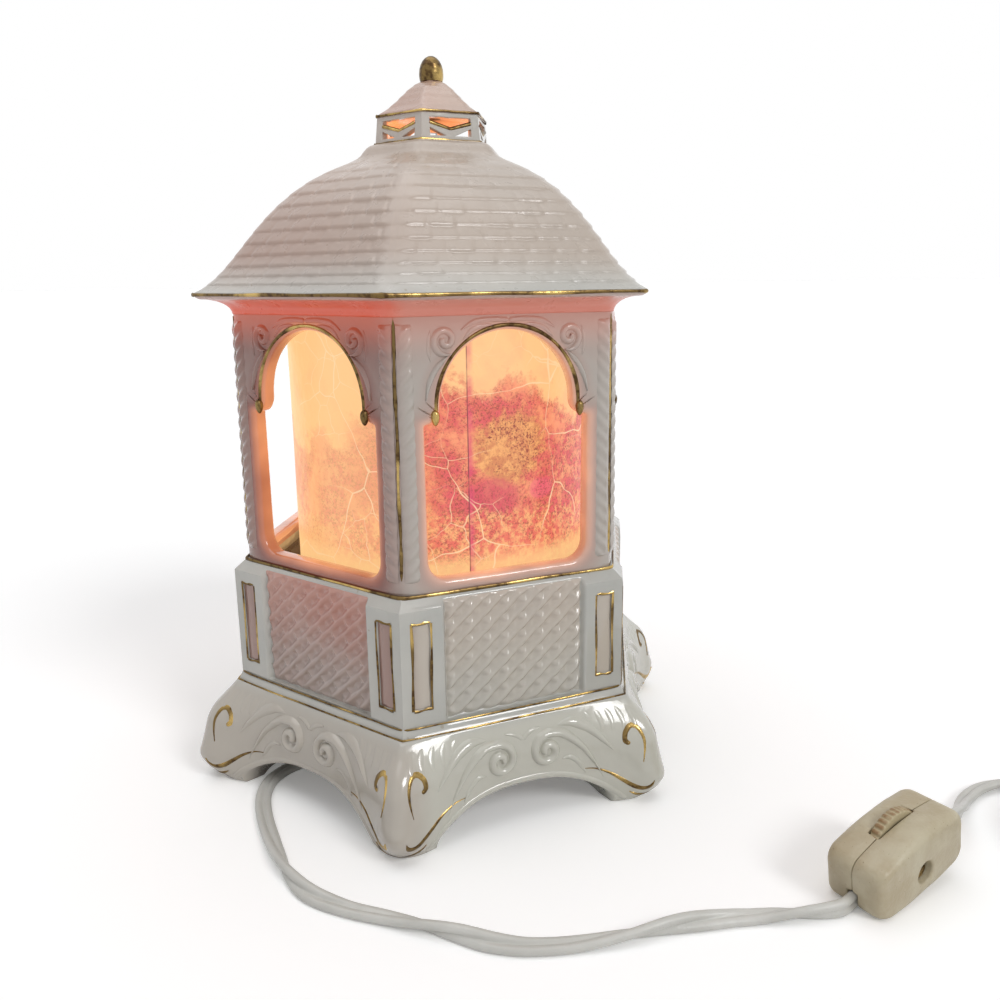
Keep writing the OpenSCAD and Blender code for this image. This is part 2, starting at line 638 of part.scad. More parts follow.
// Wire bail over the bulb: a strap held under the socket, two legs and a round crown with a ferrule.
module pivot_bail() {
  color(steel) rotate([0, 0, 90]) difference() {
    union() {
      translate([-bail_half_w - 3 * wire_r, -strap_w / 2, bail_z])
        cube([2 * bail_half_w + 6 * wire_r, strap_w, strap_t]);
      for (m = [-1, 1]) translate([m * bail_half_w, 0, bail_z])
        cylinder(r = wire_r, h = bail_spring - bail_z, $fn = 32);
      translate([0, 0, bail_spring]) rotate([90, 0, 0])
        rotate_extrude(angle = 180) translate([bail_half_w, 0]) circle(r = wire_r, $fn = 32);
      translate([0, 0, bail_crown - wire_r]) cylinder(r = 2.2, h = ferrule_h);
    }
    translate([0, 0, bail_z - 1]) cylinder(r = nipple_r + 0.1, h = strap_t + 2);
    translate([0, 0, ferrule_top - 4]) cylinder(r = needle_r, h = 5, $fn = 32);
  }
}

module pivot_needle() {
  color(steel) {
    translate([0, 0, ferrule_top - 4]) cylinder(r = needle_r, h = needle_h + 4 - 1.5, $fn = 32);
    translate([0, 0, needle_tip - 1.5]) cylinder(r1 = needle_r, r2 = 0.1, h = 1.5, $fn = 32);
  }
}

film_in_r = drum_r - film_t;
module drum_film() {
  color("#ffb38a", 0.8) translate([0, 0, drum_z]) difference() {
    cylinder(r = drum_r, h = drum_h, $fn = 128);
    translate([0, 0, -1]) cylinder(r = film_in_r, h = drum_h + 2, $fn = 128);
  }
}

module hoop(z) {
  translate([0, 0, z]) difference() {
    cylinder(r = film_in_r, h = hoop_h, $fn = 128);
    translate([0, 0, -1]) cylinder(r = film_in_r - hoop_t, h = hoop_h + 2, $fn = 128);
  }
}
module upper_hoop() {
  color(steel) hoop(drum_top - hoop_h);
}
module lower_hoop() {
  color(steel) hoop(drum_z);
}

// Stamped fan: a rim that fits the upper hoop, sloping vanes and a hub.
fan_r = film_in_r - hoop_t;
cup_r = 3.2;
module fan_cap() {
  color(steel) difference() {
    union() {
      translate([0, 0, drum_top - hoop_h]) difference() {
        cylinder(r = fan_r, h = hoop_h - 0.5, $fn = 128);
        translate([0, 0, -1]) cylinder(r = fan_r - 0.8, h = hoop_h + 2, $fn = 128);
      }
      intersection() {
        translate([0, 0, drum_top - hoop_h]) cylinder(r = fan_r - 0.2, h = hoop_h - 0.5);
        for (i = [0:vanes - 1]) rotate([0, 0, 360 * i / vanes]) translate([0, 0, hub_z - 0.2])
          rotate([vane_tilt, 0, 0]) translate([0, 0, -0.3])
            linear_extrude(0.6) polygon([[hub_r - 2, -1.6], [fan_r, -6], [fan_r, 6], [hub_r - 2, 1.6]]);
      }
      translate([0, 0, hub_z - 0.8]) cylinder(r = hub_r, h = 1.2);
    }
    translate([0, 0, hub_z - 5]) cylinder(r = cup_r, h = 10);
  }
}

// Cup in the hub whose blind bore stands on the needle.
module bearing_cup() {
  color(brass) difference() {
    union() {
      translate([0, 0, hub_z - 5]) cylinder(r = cup_r, h = 6.4);
      translate([0, 0, hub_z + 0.4]) cylinder(r = cup_r + 1.6, h = 1);
    }
    translate([0, 0, hub_z - 6]) cylinder(r = needle_r + needle_gap, h = 6.5, $fn = 48);
  }
}

// ---- Switch --------------------------------------------------------------------------------------------

// The switch stands on one long edge. That edge is bent in the middle, so the far end tips up.
switch_tip = atan((switch_mid_h - switch_end_h) / switch_l);
switch_at = [83.7, -145.5, switch_mid_h / 2 * cos(switch_tip)];
along = [cos(switch_heading) * cos(switch_tip), sin(switch_heading) * cos(switch_tip), sin(switch_tip)];
upward = [-cos(switch_heading) * sin(switch_tip), -sin(switch_heading) * sin(switch_tip), cos(switch_tip)];
// A point on the parting plane, s along the switch and z up from its middle.
function on_switch(s, z) = switch_at + s * along + z * upward;

module in_switch() {
  translate(switch_at) rotate([0, 0, switch_heading]) rotate([0, -switch_tip, 0]) children();
}

switch_half = [switch_l / 2, switch_end_h / 2, switch_mid_h / 2];
function switch_outline(inset) = let (x = switch_half[0] - inset, e = switch_half[1] - inset,
    m = switch_half[2] - inset)
  rounded([[-x, -e], [0, -m], [x, -e], [x, e], [0, m], [-x, e]], 2.6 - inset * 0.4, 3);
post_r = 6.2;                    // the round post that the wheel turns on
switch_screw_z = -1.3;           // the screw passes the post below its centre
wheel_y = 1.2;                   // the wheel sits behind the parting plane
pocket_r = wheel_r + 0.4;
pocket_t = wheel_t + 0.8;
cord_z = -4.1;                   // the cord enters low at each end
cord_hole = [5, cord_w + 0.5, cord_t + 0.5];

// One shell from the parting plane outwards, with an eased outer edge. away is 1 for the back.
module shell(away) {
  edge = 2;
  thick = switch_t / 2;
  rotate([90, 0, 0]) mirror([0, 0, away == 1 ? 1 : 0]) hull() {
    linear_extrude(thick - edge) polygon(switch_outline(0));
    linear_extrude(thick) polygon(switch_outline(edge * 0.8));
  }
}

module switch_cavities() {
  translate([0, wheel_y + pocket_t / 2, wheel_up]) rotate([90, 0, 0]) difference() {
    cylinder(r = pocket_r, h = pocket_t, $fn = 96);
    translate([0, 0, -1]) cylinder(r = post_r, h = pocket_t + 2);
  }
  for (m = [-1, 1]) translate([m * (switch_half[0] - cord_hole[0] / 2 + 1), 0, cord_z])
    cube([cord_hole[0] + 2, cord_hole[2], cord_hole[1]], center = true);
}

module switch_front_shell() {
  color(beige) in_switch() difference() {
    shell(0);
    switch_cavities();
    translate([0, 1, switch_screw_z]) rotate([90, 0, 0]) cylinder(r = 1.6, h = 12, $fn = 32);
    translate([0, -switch_t / 2 + 3, switch_screw_z]) rotate([90, 0, 0]) cylinder(r = 3.4, h = 12, $fn = 48);
    for (m = [-1, 1]) translate([m * 13.4, 0, 3.6]) cube([3.4, 7, 5], center = true);
  }
}

module switch_back_shell() {
  color(beige) in_switch() difference() {
    shell(1);
    switch_cavities();
    translate([0, 12, switch_screw_z]) rotate([90, 0, 0]) cylinder(r = 1.6, h = 13, $fn = 32);
    translate([0, switch_t / 2 - 2.6, switch_screw_z]) rotate([-90, 0, 0]) cylinder(r = 3.1, h = 6, $fn = 6);
    for (m = [-1, 1]) translate([m * 13.4, 0, 3.6]) cube([3.4, 7, 5], center = true);
  }
}

// Ribbed thumb wheel.
module switch_wheel() {
  color(cream) in_switch() translate([0, wheel_y + wheel_t / 2, wheel_up]) rotate([90, 0, 0]) difference() {
    cylinder(r = wheel_r, h = wheel_t, $fn = 96);
    translate([0, 0, -1]) cylinder(r = post_r + wheel_gap, h = wheel_t + 2);
    for (i = [0:ridges - 1]) rotate([0, 0, 360 * i / ridges]) translate([wheel_r + 0.15, 0, -1])
      cylinder(r = 0.5, h = wheel_t + 2, $fn = 4);
  }
}

module switch_screw() {
  head_y = -switch_t / 2 + 3;
  color(brass) in_switch() translate([0, 0, switch_screw_z]) rotate([-90, 0, 0]) {
    translate([0, 0, head_y - 1.6]) difference() {
      cylinder(r = 2.8, h = 1.6, $fn = 32);
      translate([-3, -0.4, -1]) cube([6, 0.8, 1.7]);
    }
    translate([0, 0, head_y - tiny]) cylinder(r = 1.5, h = switch_t - 4, $fn = 32);
  }
}

module switch_nut() {
  color(brass) in_switch() translate([0, switch_t / 2 - 2.6, switch_screw_z]) rotate([-90, 0, 0]) difference() {
    cylinder(r = 3, h = 2, $fn = 6);
    translate([0, 0, -1]) cylinder(r = 1.52, h = 4, $fn = 32);
  }
}

// A bent contact strip in the recess at each end of the wheel.
module switch_contacts() {
  color(brass) in_switch() for (m = [-1, 1]) translate([m * 13.4, 0, 1.1]) {
    translate([-1.4, -2.4, 0]) cube([2.8, 4.8, 0.8]);
    translate([m * 0.9 - 0.4, -2.4, 0]) cube([0.8, 4.8, 4.4]);
  }
}

// ---- Cord ----------------------------------------------------------------------------------------------

// A smooth line through route points, n steps to each stretch. A point is [x, y, z, roll].
function bent(a, b, c, d, t) = 0.5 * (2 * b + (c - a) * t + (2 * a - 5 * b + 4 * c - d) * t * t
  + (3 * b - a - 3 * c + d) * t * t * t);
function smooth(p, n) = let (last = len(p) - 1) concat([for (i = [0:last - 1]) for (k = [0:n - 1])
  bent(p[max(i - 1, 0)], p[i], p[i + 1], p[min(i + 2, last)], k / n)], [p[last]]);
// How high the middle of the flat cord lies when it rests on the table at a roll.
function resting(roll) = norm([cord_w / 2 * sin(roll), cord_t / 2 * cos(roll)]) + 0.05;
function settled(line) = [for (p = line) [p[0], p[1], max(p[2], resting(p[3])), p[3]]];
function xyz(p) = [p[0], p[1], p[2]];
function ahead(line, i) = unit(xyz(line[min(i + 1, len(line) - 1)]) - xyz(line[max(i - 1, 0)]));
// One ring of an oval section, w wide and t thick, turned by the point's roll.
function ring(line, i, w, t, n) = let (f = ahead(line, i), side = unit(cross(f, [0, 0, 1])),
    top = cross(side, f), r = line[i][3])
  [for (k = [0:n - 1]) let (a = 360 * (k + 0.5) / n, x = w / 2 * cos(a), y = t / 2 * sin(a))
    xyz(line[i]) + side * (x * cos(r) - y * sin(r)) + top * (x * sin(r) + y * cos(r))];

module swept(line, w, t, n) {
  rings = len(line);
  end = (rings - 1) * n;
  polyhedron([for (i = [0:rings - 1]) each ring(line, i, w, t, n)],
    concat(sheet_faces(rings, n, false),
      [for (k = [1:n - 2]) [0, k + 1, k]], [for (k = [1:n - 2]) [end, end + k, end + k + 1]]), convexity = 10);
}

function run_length(line) = len(line) < 2 ? 0
  : [for (i = 1, sum = norm(xyz(line[1]) - xyz(line[0])); i < len(line);
      i = i + 1, sum = sum + (i < len(line) ? norm(xyz(line[i]) - xyz(line[i - 1])) : 0)) sum][len(line) - 2];

// From the relief, out under the left-hand arch and round to the switch. The roll counts on through
// three slow half twists.
near_hole = on_switch(-switch_half[0] + cord_hole[0], cord_z);
near_mouth = on_switch(-switch_half[0] - 6, cord_z);
near_edge = on_switch(-switch_half[0] - 1, cord_z);
lamp_route = [
  concat(cord_exit, [0]),
  [-39.5, -4.9, 9.8, 0], [-46, -5.7, 5.6, 0], [-53, -6.4, 2.6, 0], [-60, -7.4, 1.5, 0],
  [-66.5, -10, 1.4, 0], [-72.5, -15.5, 1.4, 0], [-76.4, -24.5, 1.4, 0], [-78, -36, 1.4, 0],
  [-78.2, -49, 1.4, 10], [-77.8, -61, 1.4, 40], [-76.8, -72, 1.4, 90], [-73.2, -82, 1.4, 140],
  [-65.4, -91.5, 1.4, 175], [-55.5, -100.6, 1.4, 190], [-48, -107.8, 1.4, 220], [-41, -115, 1.4, 270],
  [-33.4, -121.8, 1.4, 320], [-24.5, -127, 1.4, 350], [-12, -131.2, 1.4, 365], [2, -134.4, 1.4, 400],
  [13, -136.4, 1.4, 450], [23, -138.2, 1.4, 500], [32, -140.2, 1.4, 530], [40.5, -143, 1.4, 550],
  [47.5, -146, 1.4, 580], [53.8, -148.6, 2.2, 610], concat(near_mouth, [630]),
  concat(near_edge, [630]), concat(near_hole, [630])];
lamp_line = settled(smooth(lamp_route, 2));

// From the switch's far end down to the table, out past the right edge and round into the coil.
far_hole = on_switch(switch_half[0] - cord_hole[0], cord_z);
far_mouth = on_switch(switch_half[0] + 6, cord_z);
far_edge = on_switch(switch_half[0] + 1, cord_z);
coil_at = [168, -176];
coil_mid_r = 31;
layer_turns = coil_turns / 2;
coil_out_r = coil_mid_r + coil_pitch * layer_turns / 2;
tie_t = 0.5;
coil_low = tie_t + 0.05 + cord_w / 2;
coil_start = 45;
function coil_point(r, a, z) = [coil_at[0] + r * cos(a), coil_at[1] + r * sin(a), z, 90];
coil_first = coil_point(coil_out_r, coil_start, coil_low)
  - 3 * [sin(coil_start), -cos(coil_start), 0, 0];
lead_route = [
  concat(far_hole, [90]), concat(far_edge, [90]), concat(far_mouth, [90]),
  [116.5, -138.6, 10.2, 80], [124, -134.2, 7, 60], [131, -128.9, 3.6, 40], [138.8, -124.4, 1.6, 20],
  [149, -122, 1.4, 20], [160.5, -124, 1.5, 45], [172, -130.6, 2.4, 75],
  coil_first - 9 * [sin(coil_start), -cos(coil_start), 0, 0], coil_first];
lead_line = settled(smooth(lead_route, 2));

// The coil: one layer spirals in, the cord climbs through half a turn, and the next spirals out over it.
function eased(x) = x <= 0 ? 0 : x >= 1 ? 1 : x * x * (3 - 2 * x);
function coil_r(u) = coil_out_r - coil_pitch * (u < layer_turns ? u : coil_turns - u);
function coil_z(u) = coil_low + coil_rise * eased((u - layer_turns + 0.25) / 0.5);
rings_a_turn = 24;
coil_line = [for (i = [0:round(coil_turns * rings_a_turn)]) let (u = i / rings_a_turn)
  coil_point(coil_r(u), coil_start - 360 * u, coil_z(u))];

// The cord leaves the coil straight on and ends in the plug.
tail_dir = ahead(coil_line, len(coil_line) - 1);
tail_flat = unit([tail_dir[0], tail_dir[1], 0]);
coil_end = xyz(coil_line[len(coil_line) - 1]);
tail_l = 13;
plug_back = [coil_end[0], coil_end[1], plug_t / 2] + tail_l * tail_flat;
tail_line = [for (k = [1:4]) let (p = coil_end + tail_l * k / 4 * tail_flat,
    z = coil_end[2] + (plug_t / 2 - coil_end[2]) * eased(k / 3)) [p[0], p[1], z, 90]];

module cord_lamp() {
  color(white_pvc) swept(lamp_line, cord_w, cord_t, 10);
}
module cord_lead() {
  color(white_pvc) swept(lead_line, cord_w, cord_t, 10);
}
module cord_coil() {
  color(white_pvc) swept(concat([coil_first], coil_line, tail_line), cord_w, cord_t, 6);
}

total_l = run_length(lamp_line) + run_length(lead_line) + run_length(concat(coil_line, tail_line));
echo(cord_total_mm = total_l, lamp_mm = run_length(lamp_line), lead_mm = run_length(lead_line));
// Least gap between one ring of the coil and the rings at least half a turn away.
coil_rings = [for (i = [0:len(coil_line) - 1]) ring(coil_line, i, cord_w, cord_t, 6)];
coil_gap = min([for (i = [0:len(coil_line) - 1]) for (j = [i + rings_a_turn / 2:len(coil_line) - 1])
  if (norm(xyz(coil_line[i]) - xyz(coil_line[j])) < 9) for (p = coil_rings[i]) for (q = coil_rings[j])
    norm(p - q)]);
echo(coil_least_gap_mm = coil_gap);

// A paper tie round the whole bundle on the side away from the lamp.
module coil_tie() {
  inner = coil_out_r - coil_pitch * layer_turns - cord_t / 2 - 0.3;
  outer = coil_out_r + cord_t / 2 + 0.3;
  top = coil_low + coil_rise + cord_w / 2 + 0.3;
  color(bakelite) translate([coil_at[0], coil_at[1], 0]) rotate([0, 0, -80]) translate([0, 2, 0])
    rotate([90, 0, 0]) linear_extrude(4) difference() {
      translate([inner - tie_t, 0]) square([outer - inner + 2 * tie_t, top + tie_t]);
      translate([inner, tie_t]) square([outer - inner, top - tie_t]);
    }
}

// Moulded two-pin plug.
module at_plug() {
  translate(plug_back) rotate([0, 0, atan2(tail_flat[1], tail_flat[0])]) children();
}
blade_l = 16;
blade_gap = 12.7;
module plug_body() {
  color(white_pvc) at_plug() hull() {
    translate([0, 0, 0]) rotate([90, 0, 90]) linear_extrude(1)
      polygon(rounded([[-4, -4.6], [4, -4.6], [4, 4.6], [-4, 4.6]], 2, 3));
    translate([plug_l * 0.45, 0, 0]) rotate([90, 0, 90]) linear_extrude(plug_l * 0.55)
      polygon(rounded([[-plug_w / 2, -plug_t / 2], [plug_w / 2, -plug_t / 2], [plug_w / 2, plug_t / 2],
        [-plug_w / 2, plug_t / 2]], 3, 3));
  }
}
module plug_blades() {
  color(brass) at_plug() for (m = [-1, 1]) translate([plug_l, m * blade_gap / 2, 0]) difference() {
    translate([0, -0.75, -3.175]) cube([blade_l, 1.5, 6.35]);
    translate([blade_l - 4, 2, 0]) rotate([90, 0, 0]) cylinder(r = 1.6, h = 4, $fn = 24);
  }
}

base_skirt();
pedestal();
lattice_panels();
tower_walls();
roof();
cupola_walls();
cupola_roof();
finial();
bottom_plate();
plate_screws();
plate_nuts();
lamp_nipple();
nipple_nuts();
cord_bushing();
inner_leads();
socket_body();
screw_shell();
centre_contact();
bulb_cap();
bulb_glass();
filament_mount();
pivot_bail();
pivot_needle();
drum_film();
upper_hoop();
lower_hoop();
fan_cap();
bearing_cup();
switch_front_shell();
switch_back_shell();
switch_wheel();
switch_screw();
switch_nut();
switch_contacts();
cord_lamp();
cord_lead();
cord_coil();
coil_tie();
plug_body();
plug_blades();
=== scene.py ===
import math

import bpy
import numpy as np
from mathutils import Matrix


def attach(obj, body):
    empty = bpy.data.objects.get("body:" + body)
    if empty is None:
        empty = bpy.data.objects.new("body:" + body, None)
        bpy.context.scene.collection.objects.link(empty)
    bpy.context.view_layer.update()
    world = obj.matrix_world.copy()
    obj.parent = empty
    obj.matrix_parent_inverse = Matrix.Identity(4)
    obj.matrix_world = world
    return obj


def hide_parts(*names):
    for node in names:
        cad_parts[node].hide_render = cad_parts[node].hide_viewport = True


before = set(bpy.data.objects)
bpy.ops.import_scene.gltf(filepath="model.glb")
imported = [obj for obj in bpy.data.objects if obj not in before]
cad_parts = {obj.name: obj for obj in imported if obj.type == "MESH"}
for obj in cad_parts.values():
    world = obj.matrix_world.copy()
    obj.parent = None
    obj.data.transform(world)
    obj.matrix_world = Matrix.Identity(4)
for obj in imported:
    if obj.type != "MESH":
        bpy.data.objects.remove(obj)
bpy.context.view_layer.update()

# ---- View, light and table -------------------------------------------------------------------------------
# The lamp stands on a plain white table in even studio light: a pale sky all round, one soft sun from high
# up and one from the front right. The background is white, and the table keeps the lamp's soft shadow.
eye = bpy.data.objects.new("view_camera", bpy.data.cameras.new("view_camera"))
bpy.context.scene.collection.objects.link(eye)
eye.data.lens = 32.66
eye.data.sensor_width = 36.0
eye.data.clip_start = 0.01
eye.location = (-0.11149, -0.31203, 0.17244)
eye.rotation_euler = [math.radians(a) for a in (76.3455, 0.6118, -23.5437)]
bpy.context.scene.camera = eye
bpy.context.scene.view_settings.view_transform = "Standard"


def soft_sun(name, turn, height, strength, spread):
    """A soft sun at an angle round the lamp and a height above the table, all in degrees. Its strength is
    the light that a white sheet facing it sends back."""
    lamp = bpy.data.lights.new(name, "SUN")
    lamp.energy, lamp.angle = math.pi * strength, math.radians(spread)
    holder = bpy.data.objects.new(name, lamp)
    holder.rotation_euler = (math.radians(90 - height), 0, math.radians(turn + 90))
    bpy.context.scene.collection.objects.link(holder)


soft_sun("high_sun", 120, 82, 0.30, 60)
soft_sun("front_sun", -68, 38, 0.32, 20)


class Wire:
    """A value in a material's node tree. Sums, products and powers of such values add Math nodes."""

    def __init__(self, tree, socket=None):
        self.tree, self.socket = tree, socket

    def node(self, kind, inputs=None, out=0, stops=None, **settings):
        """Any node: its settings first, then the values or wires of its sockets."""
        made = self.tree.nodes.new(kind)
        for key, value in settings.items():
            setattr(made, key, value)
        if stops:
            ramp = made.color_ramp
            while len(ramp.elements) < len(stops):
                ramp.elements.new(1)
            for element, (place, colour) in zip(ramp.elements, stops):
                element.position, element.color = place, (*colour, 1)
        for key, value in (inputs or {}).items():
            if isinstance(value, Wire):
                self.tree.links.new(value.socket, made.inputs[key])
            else:
                made.inputs[key].default_value = value
        return Wire(self.tree, made.outputs[out])

    def sum(self, operation, *values):
        """A Math node that does the operation on the values, in order."""
        return self.node("ShaderNodeMath", dict(enumerate(values)), operation=operation)

    def __add__(self, other): return self.sum("ADD", self, other)
    def __radd__(self, other): return self.sum("ADD", other, self)
    def __sub__(self, other): return self.sum("SUBTRACT", self, other)
    def __rsub__(self, other): return self.sum("SUBTRACT", other, self)
    def __mul__(self, other): return self.sum("MULTIPLY", self, other)
    def __rmul__(self, other): return self.sum("MULTIPLY", other, self)
    def __truediv__(self, other): return self.sum("DIVIDE", self, other)
    def __pow__(self, other): return self.sum("POWER", self, other)
    def abs(self): return self.sum("ABSOLUTE", self)
    def most(self, other): return self.sum("MAXIMUM", self, other)

    def ease(self, low, high, start=0.0, end=1.0):
        """Rises smoothly from start at low to end at high."""
        return self.node("ShaderNodeMapRange", {"Value": self, "From Min": low, "From Max": high,
                         "To Min": start, "To Max": end}, interpolation_type="SMOOTHSTEP")

    def mix(self, first, second):
        """The colour first where this wire is 0 and second where it is 1."""
        tint = {6: first, 7: second}
        tint = {key: value if isinstance(value, Wire) else (*value, 1) for key, value in tint.items()}
        return self.node("ShaderNodeMix", {0: self, **tint}, out=2, data_type="RGBA")


def finish_of(name, bump=None, depth=0.0001, soften=None, **looks):
    """A new material. Its looks are a Principled shader's sockets by name, as values or as functions that
    turn the tree's first wire into one. bump gives the height that marks the surface in the same way, and
    soften is the radius, in metres, to which sharp edges are eased in the light."""
    material = bpy.data.materials.new(name)
    material.use_nodes = True
    tree = material.node_tree
    shader = tree.nodes["Principled BSDF"]
    start = Wire(tree)
    for key, look in looks.items():
        value = look(start) if callable(look) else look
        socket = shader.inputs[key.replace("_", " ")]
        if isinstance(value, Wire):
            tree.links.new(value.socket, socket)
        else:
            socket.default_value = (*value, 1) if isinstance(value, tuple) and len(value) == 3 else value
    way = start.node("ShaderNodeBevel", {"Radius": soften}, samples=6) if soften else None
    if bump:
        marks = {"Height": bump(start), "Distance": depth, "Strength": 1.0}
        way = start.node("ShaderNodeBump", {**marks, "Normal": way} if way else marks)
    if way:
        tree.links.new(way.socket, shader.inputs["Normal"])
    return material


def place_on(start):
    """The three coordinates of the point on the object, in millimetres, as wires."""
    spot = start.node("ShaderNodeTexCoord", out=3)
    spot = start.node("ShaderNodeVectorMath", {0: spot, "Scale": 1000.0}, operation="SCALE")
    split = start.tree.nodes.new("ShaderNodeSeparateXYZ")
    start.tree.links.new(spot.socket, split.inputs[0])
    return spot, [Wire(start.tree, split.outputs[k]) for k in range(3)]


def speckle(start, spot, scale, detail=2.0, rough=0.5):
    """Noise from 0 to 1 at a point, with so many cells to a millimetre."""
    return start.node("ShaderNodeTexNoise", {"Vector": spot, "Scale": scale, "Detail": detail,
                      "Roughness": rough})


def mottle(start, scale, detail=2.0, rough=0.5):
    """The same noise, at the point of the piece itself."""
    return speckle(start, place_on(start)[0], scale, detail, rough)


def add_mesh(name, points, faces, material, uv=None):
    """A smooth mesh object of points in metres and faces of point numbers, with a map if uv is given."""
    mesh = bpy.data.meshes.new(name)
    faces = faces.tolist() if isinstance(faces, np.ndarray) else faces
    mesh.from_pydata(np.asarray(points, float).reshape(-1, 3).tolist(), [], faces)
    mesh.polygons.foreach_set("use_smooth", np.full(len(mesh.polygons), True))
    if uv is not None:
        corners = np.empty(len(mesh.loops), int)
        mesh.loops.foreach_get("vertex_index", corners)
        mesh.uv_layers.new(name="surface").data.foreach_set("uv", np.asarray(uv, float)[corners].ravel())
    mesh.materials.append(material)
    mesh.update()
    piece = bpy.data.objects.new(name, mesh)
    bpy.context.scene.collection.objects.link(piece)
    return piece


def net(rows, cols, wrap=False, first=0):
    """The four-sided faces of a grid of points, row by row. Wrapped, the last column joins the first."""
    i, j = np.meshgrid(np.arange(rows - 1), np.arange(cols if wrap else cols - 1), indexing="ij")
    a, b = i * cols + j, i * cols + (j + 1) % cols
    return np.stack([a, b, b + cols, a + cols], -1).reshape(-1, 4) + first


def seen_white(w):
    """What the table lacks to white, added only where the camera looks straight at it."""
    return w.node("ShaderNodeLightPath").mix((0, 0, 0), (0.17, 0.17, 0.165))


table_top = finish_of("white_table", Base_Color=(0.97, 0.97, 0.97), Roughness=1.0, Specular_IOR_Level=0.0,
                      Emission_Color=seen_white, Emission_Strength=1.0)
floor = add_mesh("table", [(x, y, 0) for y in (-30, 30) for x in (-30, 30)], net(2, 2), table_top)

sky = bpy.data.worlds.new("studio")
bpy.context.scene.world = sky
sky.use_nodes = True
path = sky.node_tree.nodes.new("ShaderNodeLightPath")
seen, reflected, behind_glass = (Wire(sky.node_tree, path.outputs[ray])
                                 for ray in ("Is Camera Ray", "Is Glossy Ray", "Is Transmission Ray"))
shown = seen.most(reflected).most(behind_glass)
backdrop = sky.node_tree.nodes["Background"]
sky.node_tree.links.new(shown.mix((0.39, 0.39, 0.40), (1, 1, 1)).socket, backdrop.inputs["Color"])

# ---- Cord ------------------------------------------------------------------------------------------------
# Flat twin lead in white vinyl: two round conductors side by side, joined by a thin web. It twists slowly
# as it runs, and lies on the table wherever nothing holds it up.
cord_w, cord_t = 5.4, 2.7


def smooth_line(route, steps):
    """A smooth line through the route's points, [x, y, z, roll], with steps to each stretch: a cubic whose
    slope at a point is half the way between its neighbours."""
    p = np.vstack([route[:1], route, route[-1:]])
    a, b, c, d = (p[k:len(p) - 3 + k][:, None, :] for k in range(4))
    t = (np.arange(steps) / steps)[None, :, None]
    line = 0.5 * (2 * b + (c - a) * t + (2 * a - 5 * b + 4 * c - d) * t ** 2
                  + (3 * b - a - 3 * c + d) * t ** 3)
    return np.vstack([line.reshape(-1, 4), route[-1:]])


def on_table(line):
    """Lifts the cord so that it just rests on the table, whatever its roll. The lower conductor's middle
    lies below the cord's by a quarter of the width times the sine of the roll, its skin by half the
    thickness more."""
    roll = np.radians(line[:, 3])
    line[:, 2] = np.maximum(line[:, 2], cord_w / 4 * np.abs(np.sin(roll)) + cord_t / 2 + 0.05)
    return line


def twin_section(count=13):
    """The lead's outline: round each of two circles that touch, and across a web in the valley between."""
    turn = np.radians(np.linspace(-152, 152, count))
    right = np.column_stack([cord_w / 4 + cord_t / 2 * np.cos(turn), cord_t / 2 * np.sin(turn)])
    return np.vstack([right, -right])


def turned(x, y, angle):
    """A point turned anticlockwise by an angle: x cos less y sin, and x sin plus y cos."""
    c, s = np.cos(angle), np.sin(angle)
    return x * c - y * s, x * s + y * c


def drawn_along(line, section):
    """Carries a flat section along a line, square to it and turned by the line's roll. Ends are closed."""
    spine = line[:, :3]
    ahead = np.gradient(spine, axis=0)
    ahead /= np.linalg.norm(ahead, axis=1, keepdims=True)
    across = np.cross(ahead, [0, 0, 1.0])
    across /= np.linalg.norm(across, axis=1, keepdims=True)
    above = np.cross(across, ahead)
    x, y = turned(section[None, :, :1], section[None, :, 1:], np.radians(line[:, 3])[:, None, None])
    points = spine[:, None] + across[:, None] * x + above[:, None] * y
    rows, cols = points.shape[:2]
    ends = [list(range(cols)), [(rows - 1) * cols + k for k in range(cols)][::-1]]
    return points.reshape(-1, 3), net(rows, cols, wrap=True)[:, ::-1].tolist() + ends


white_vinyl = finish_of("white_vinyl", Roughness=0.28, Specular_IOR_Level=0.5, depth=0.00012,
                        Base_Color=lambda w: mottle(w, 0.06, 3).ease(0.3, 0.75).mix(
                            (0.54, 0.535, 0.495), (0.63, 0.625, 0.585)),
                        bump=lambda w: mottle(w, 1.5, 2))


def lay_cord(name, line, nodes):
    points, faces = drawn_along(line, twin_section())
    cord = add_mesh(name, points / 1000, faces, white_vinyl)
    spine = line[:, :3] / 1000
    length = float(np.linalg.norm(np.diff(spine, axis=0), axis=1).sum())
    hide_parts(*nodes)
    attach(cord, "house")


# The switch stands tipped on its bent lower edge: where its ends and their cord holes come to lie.
switch_tall, end_tall, switch_long = 21.4, 14.6, 38.8
tip, heading = np.arctan((switch_tall - end_tall) / switch_long), np.radians(10.6)
switch_at = np.array([83.7, -145.5, switch_tall / 2 * np.cos(tip)])
switch_along = np.array([np.cos(heading) * np.cos(tip), np.sin(heading) * np.cos(tip), np.sin(tip)])
switch_up = np.array([-np.cos(heading) * np.sin(tip), -np.sin(heading) * np.sin(tip), np.cos(tip)])
hole_drop = 4.1                               # the cord holes lie this far below the switch's middle


def cord_hole(s, roll):
    """A point of the cord's way through the switch, s along it from its middle, and the cord's roll."""
    return np.append(switch_at + s * switch_along - hole_drop * switch_up, roll)


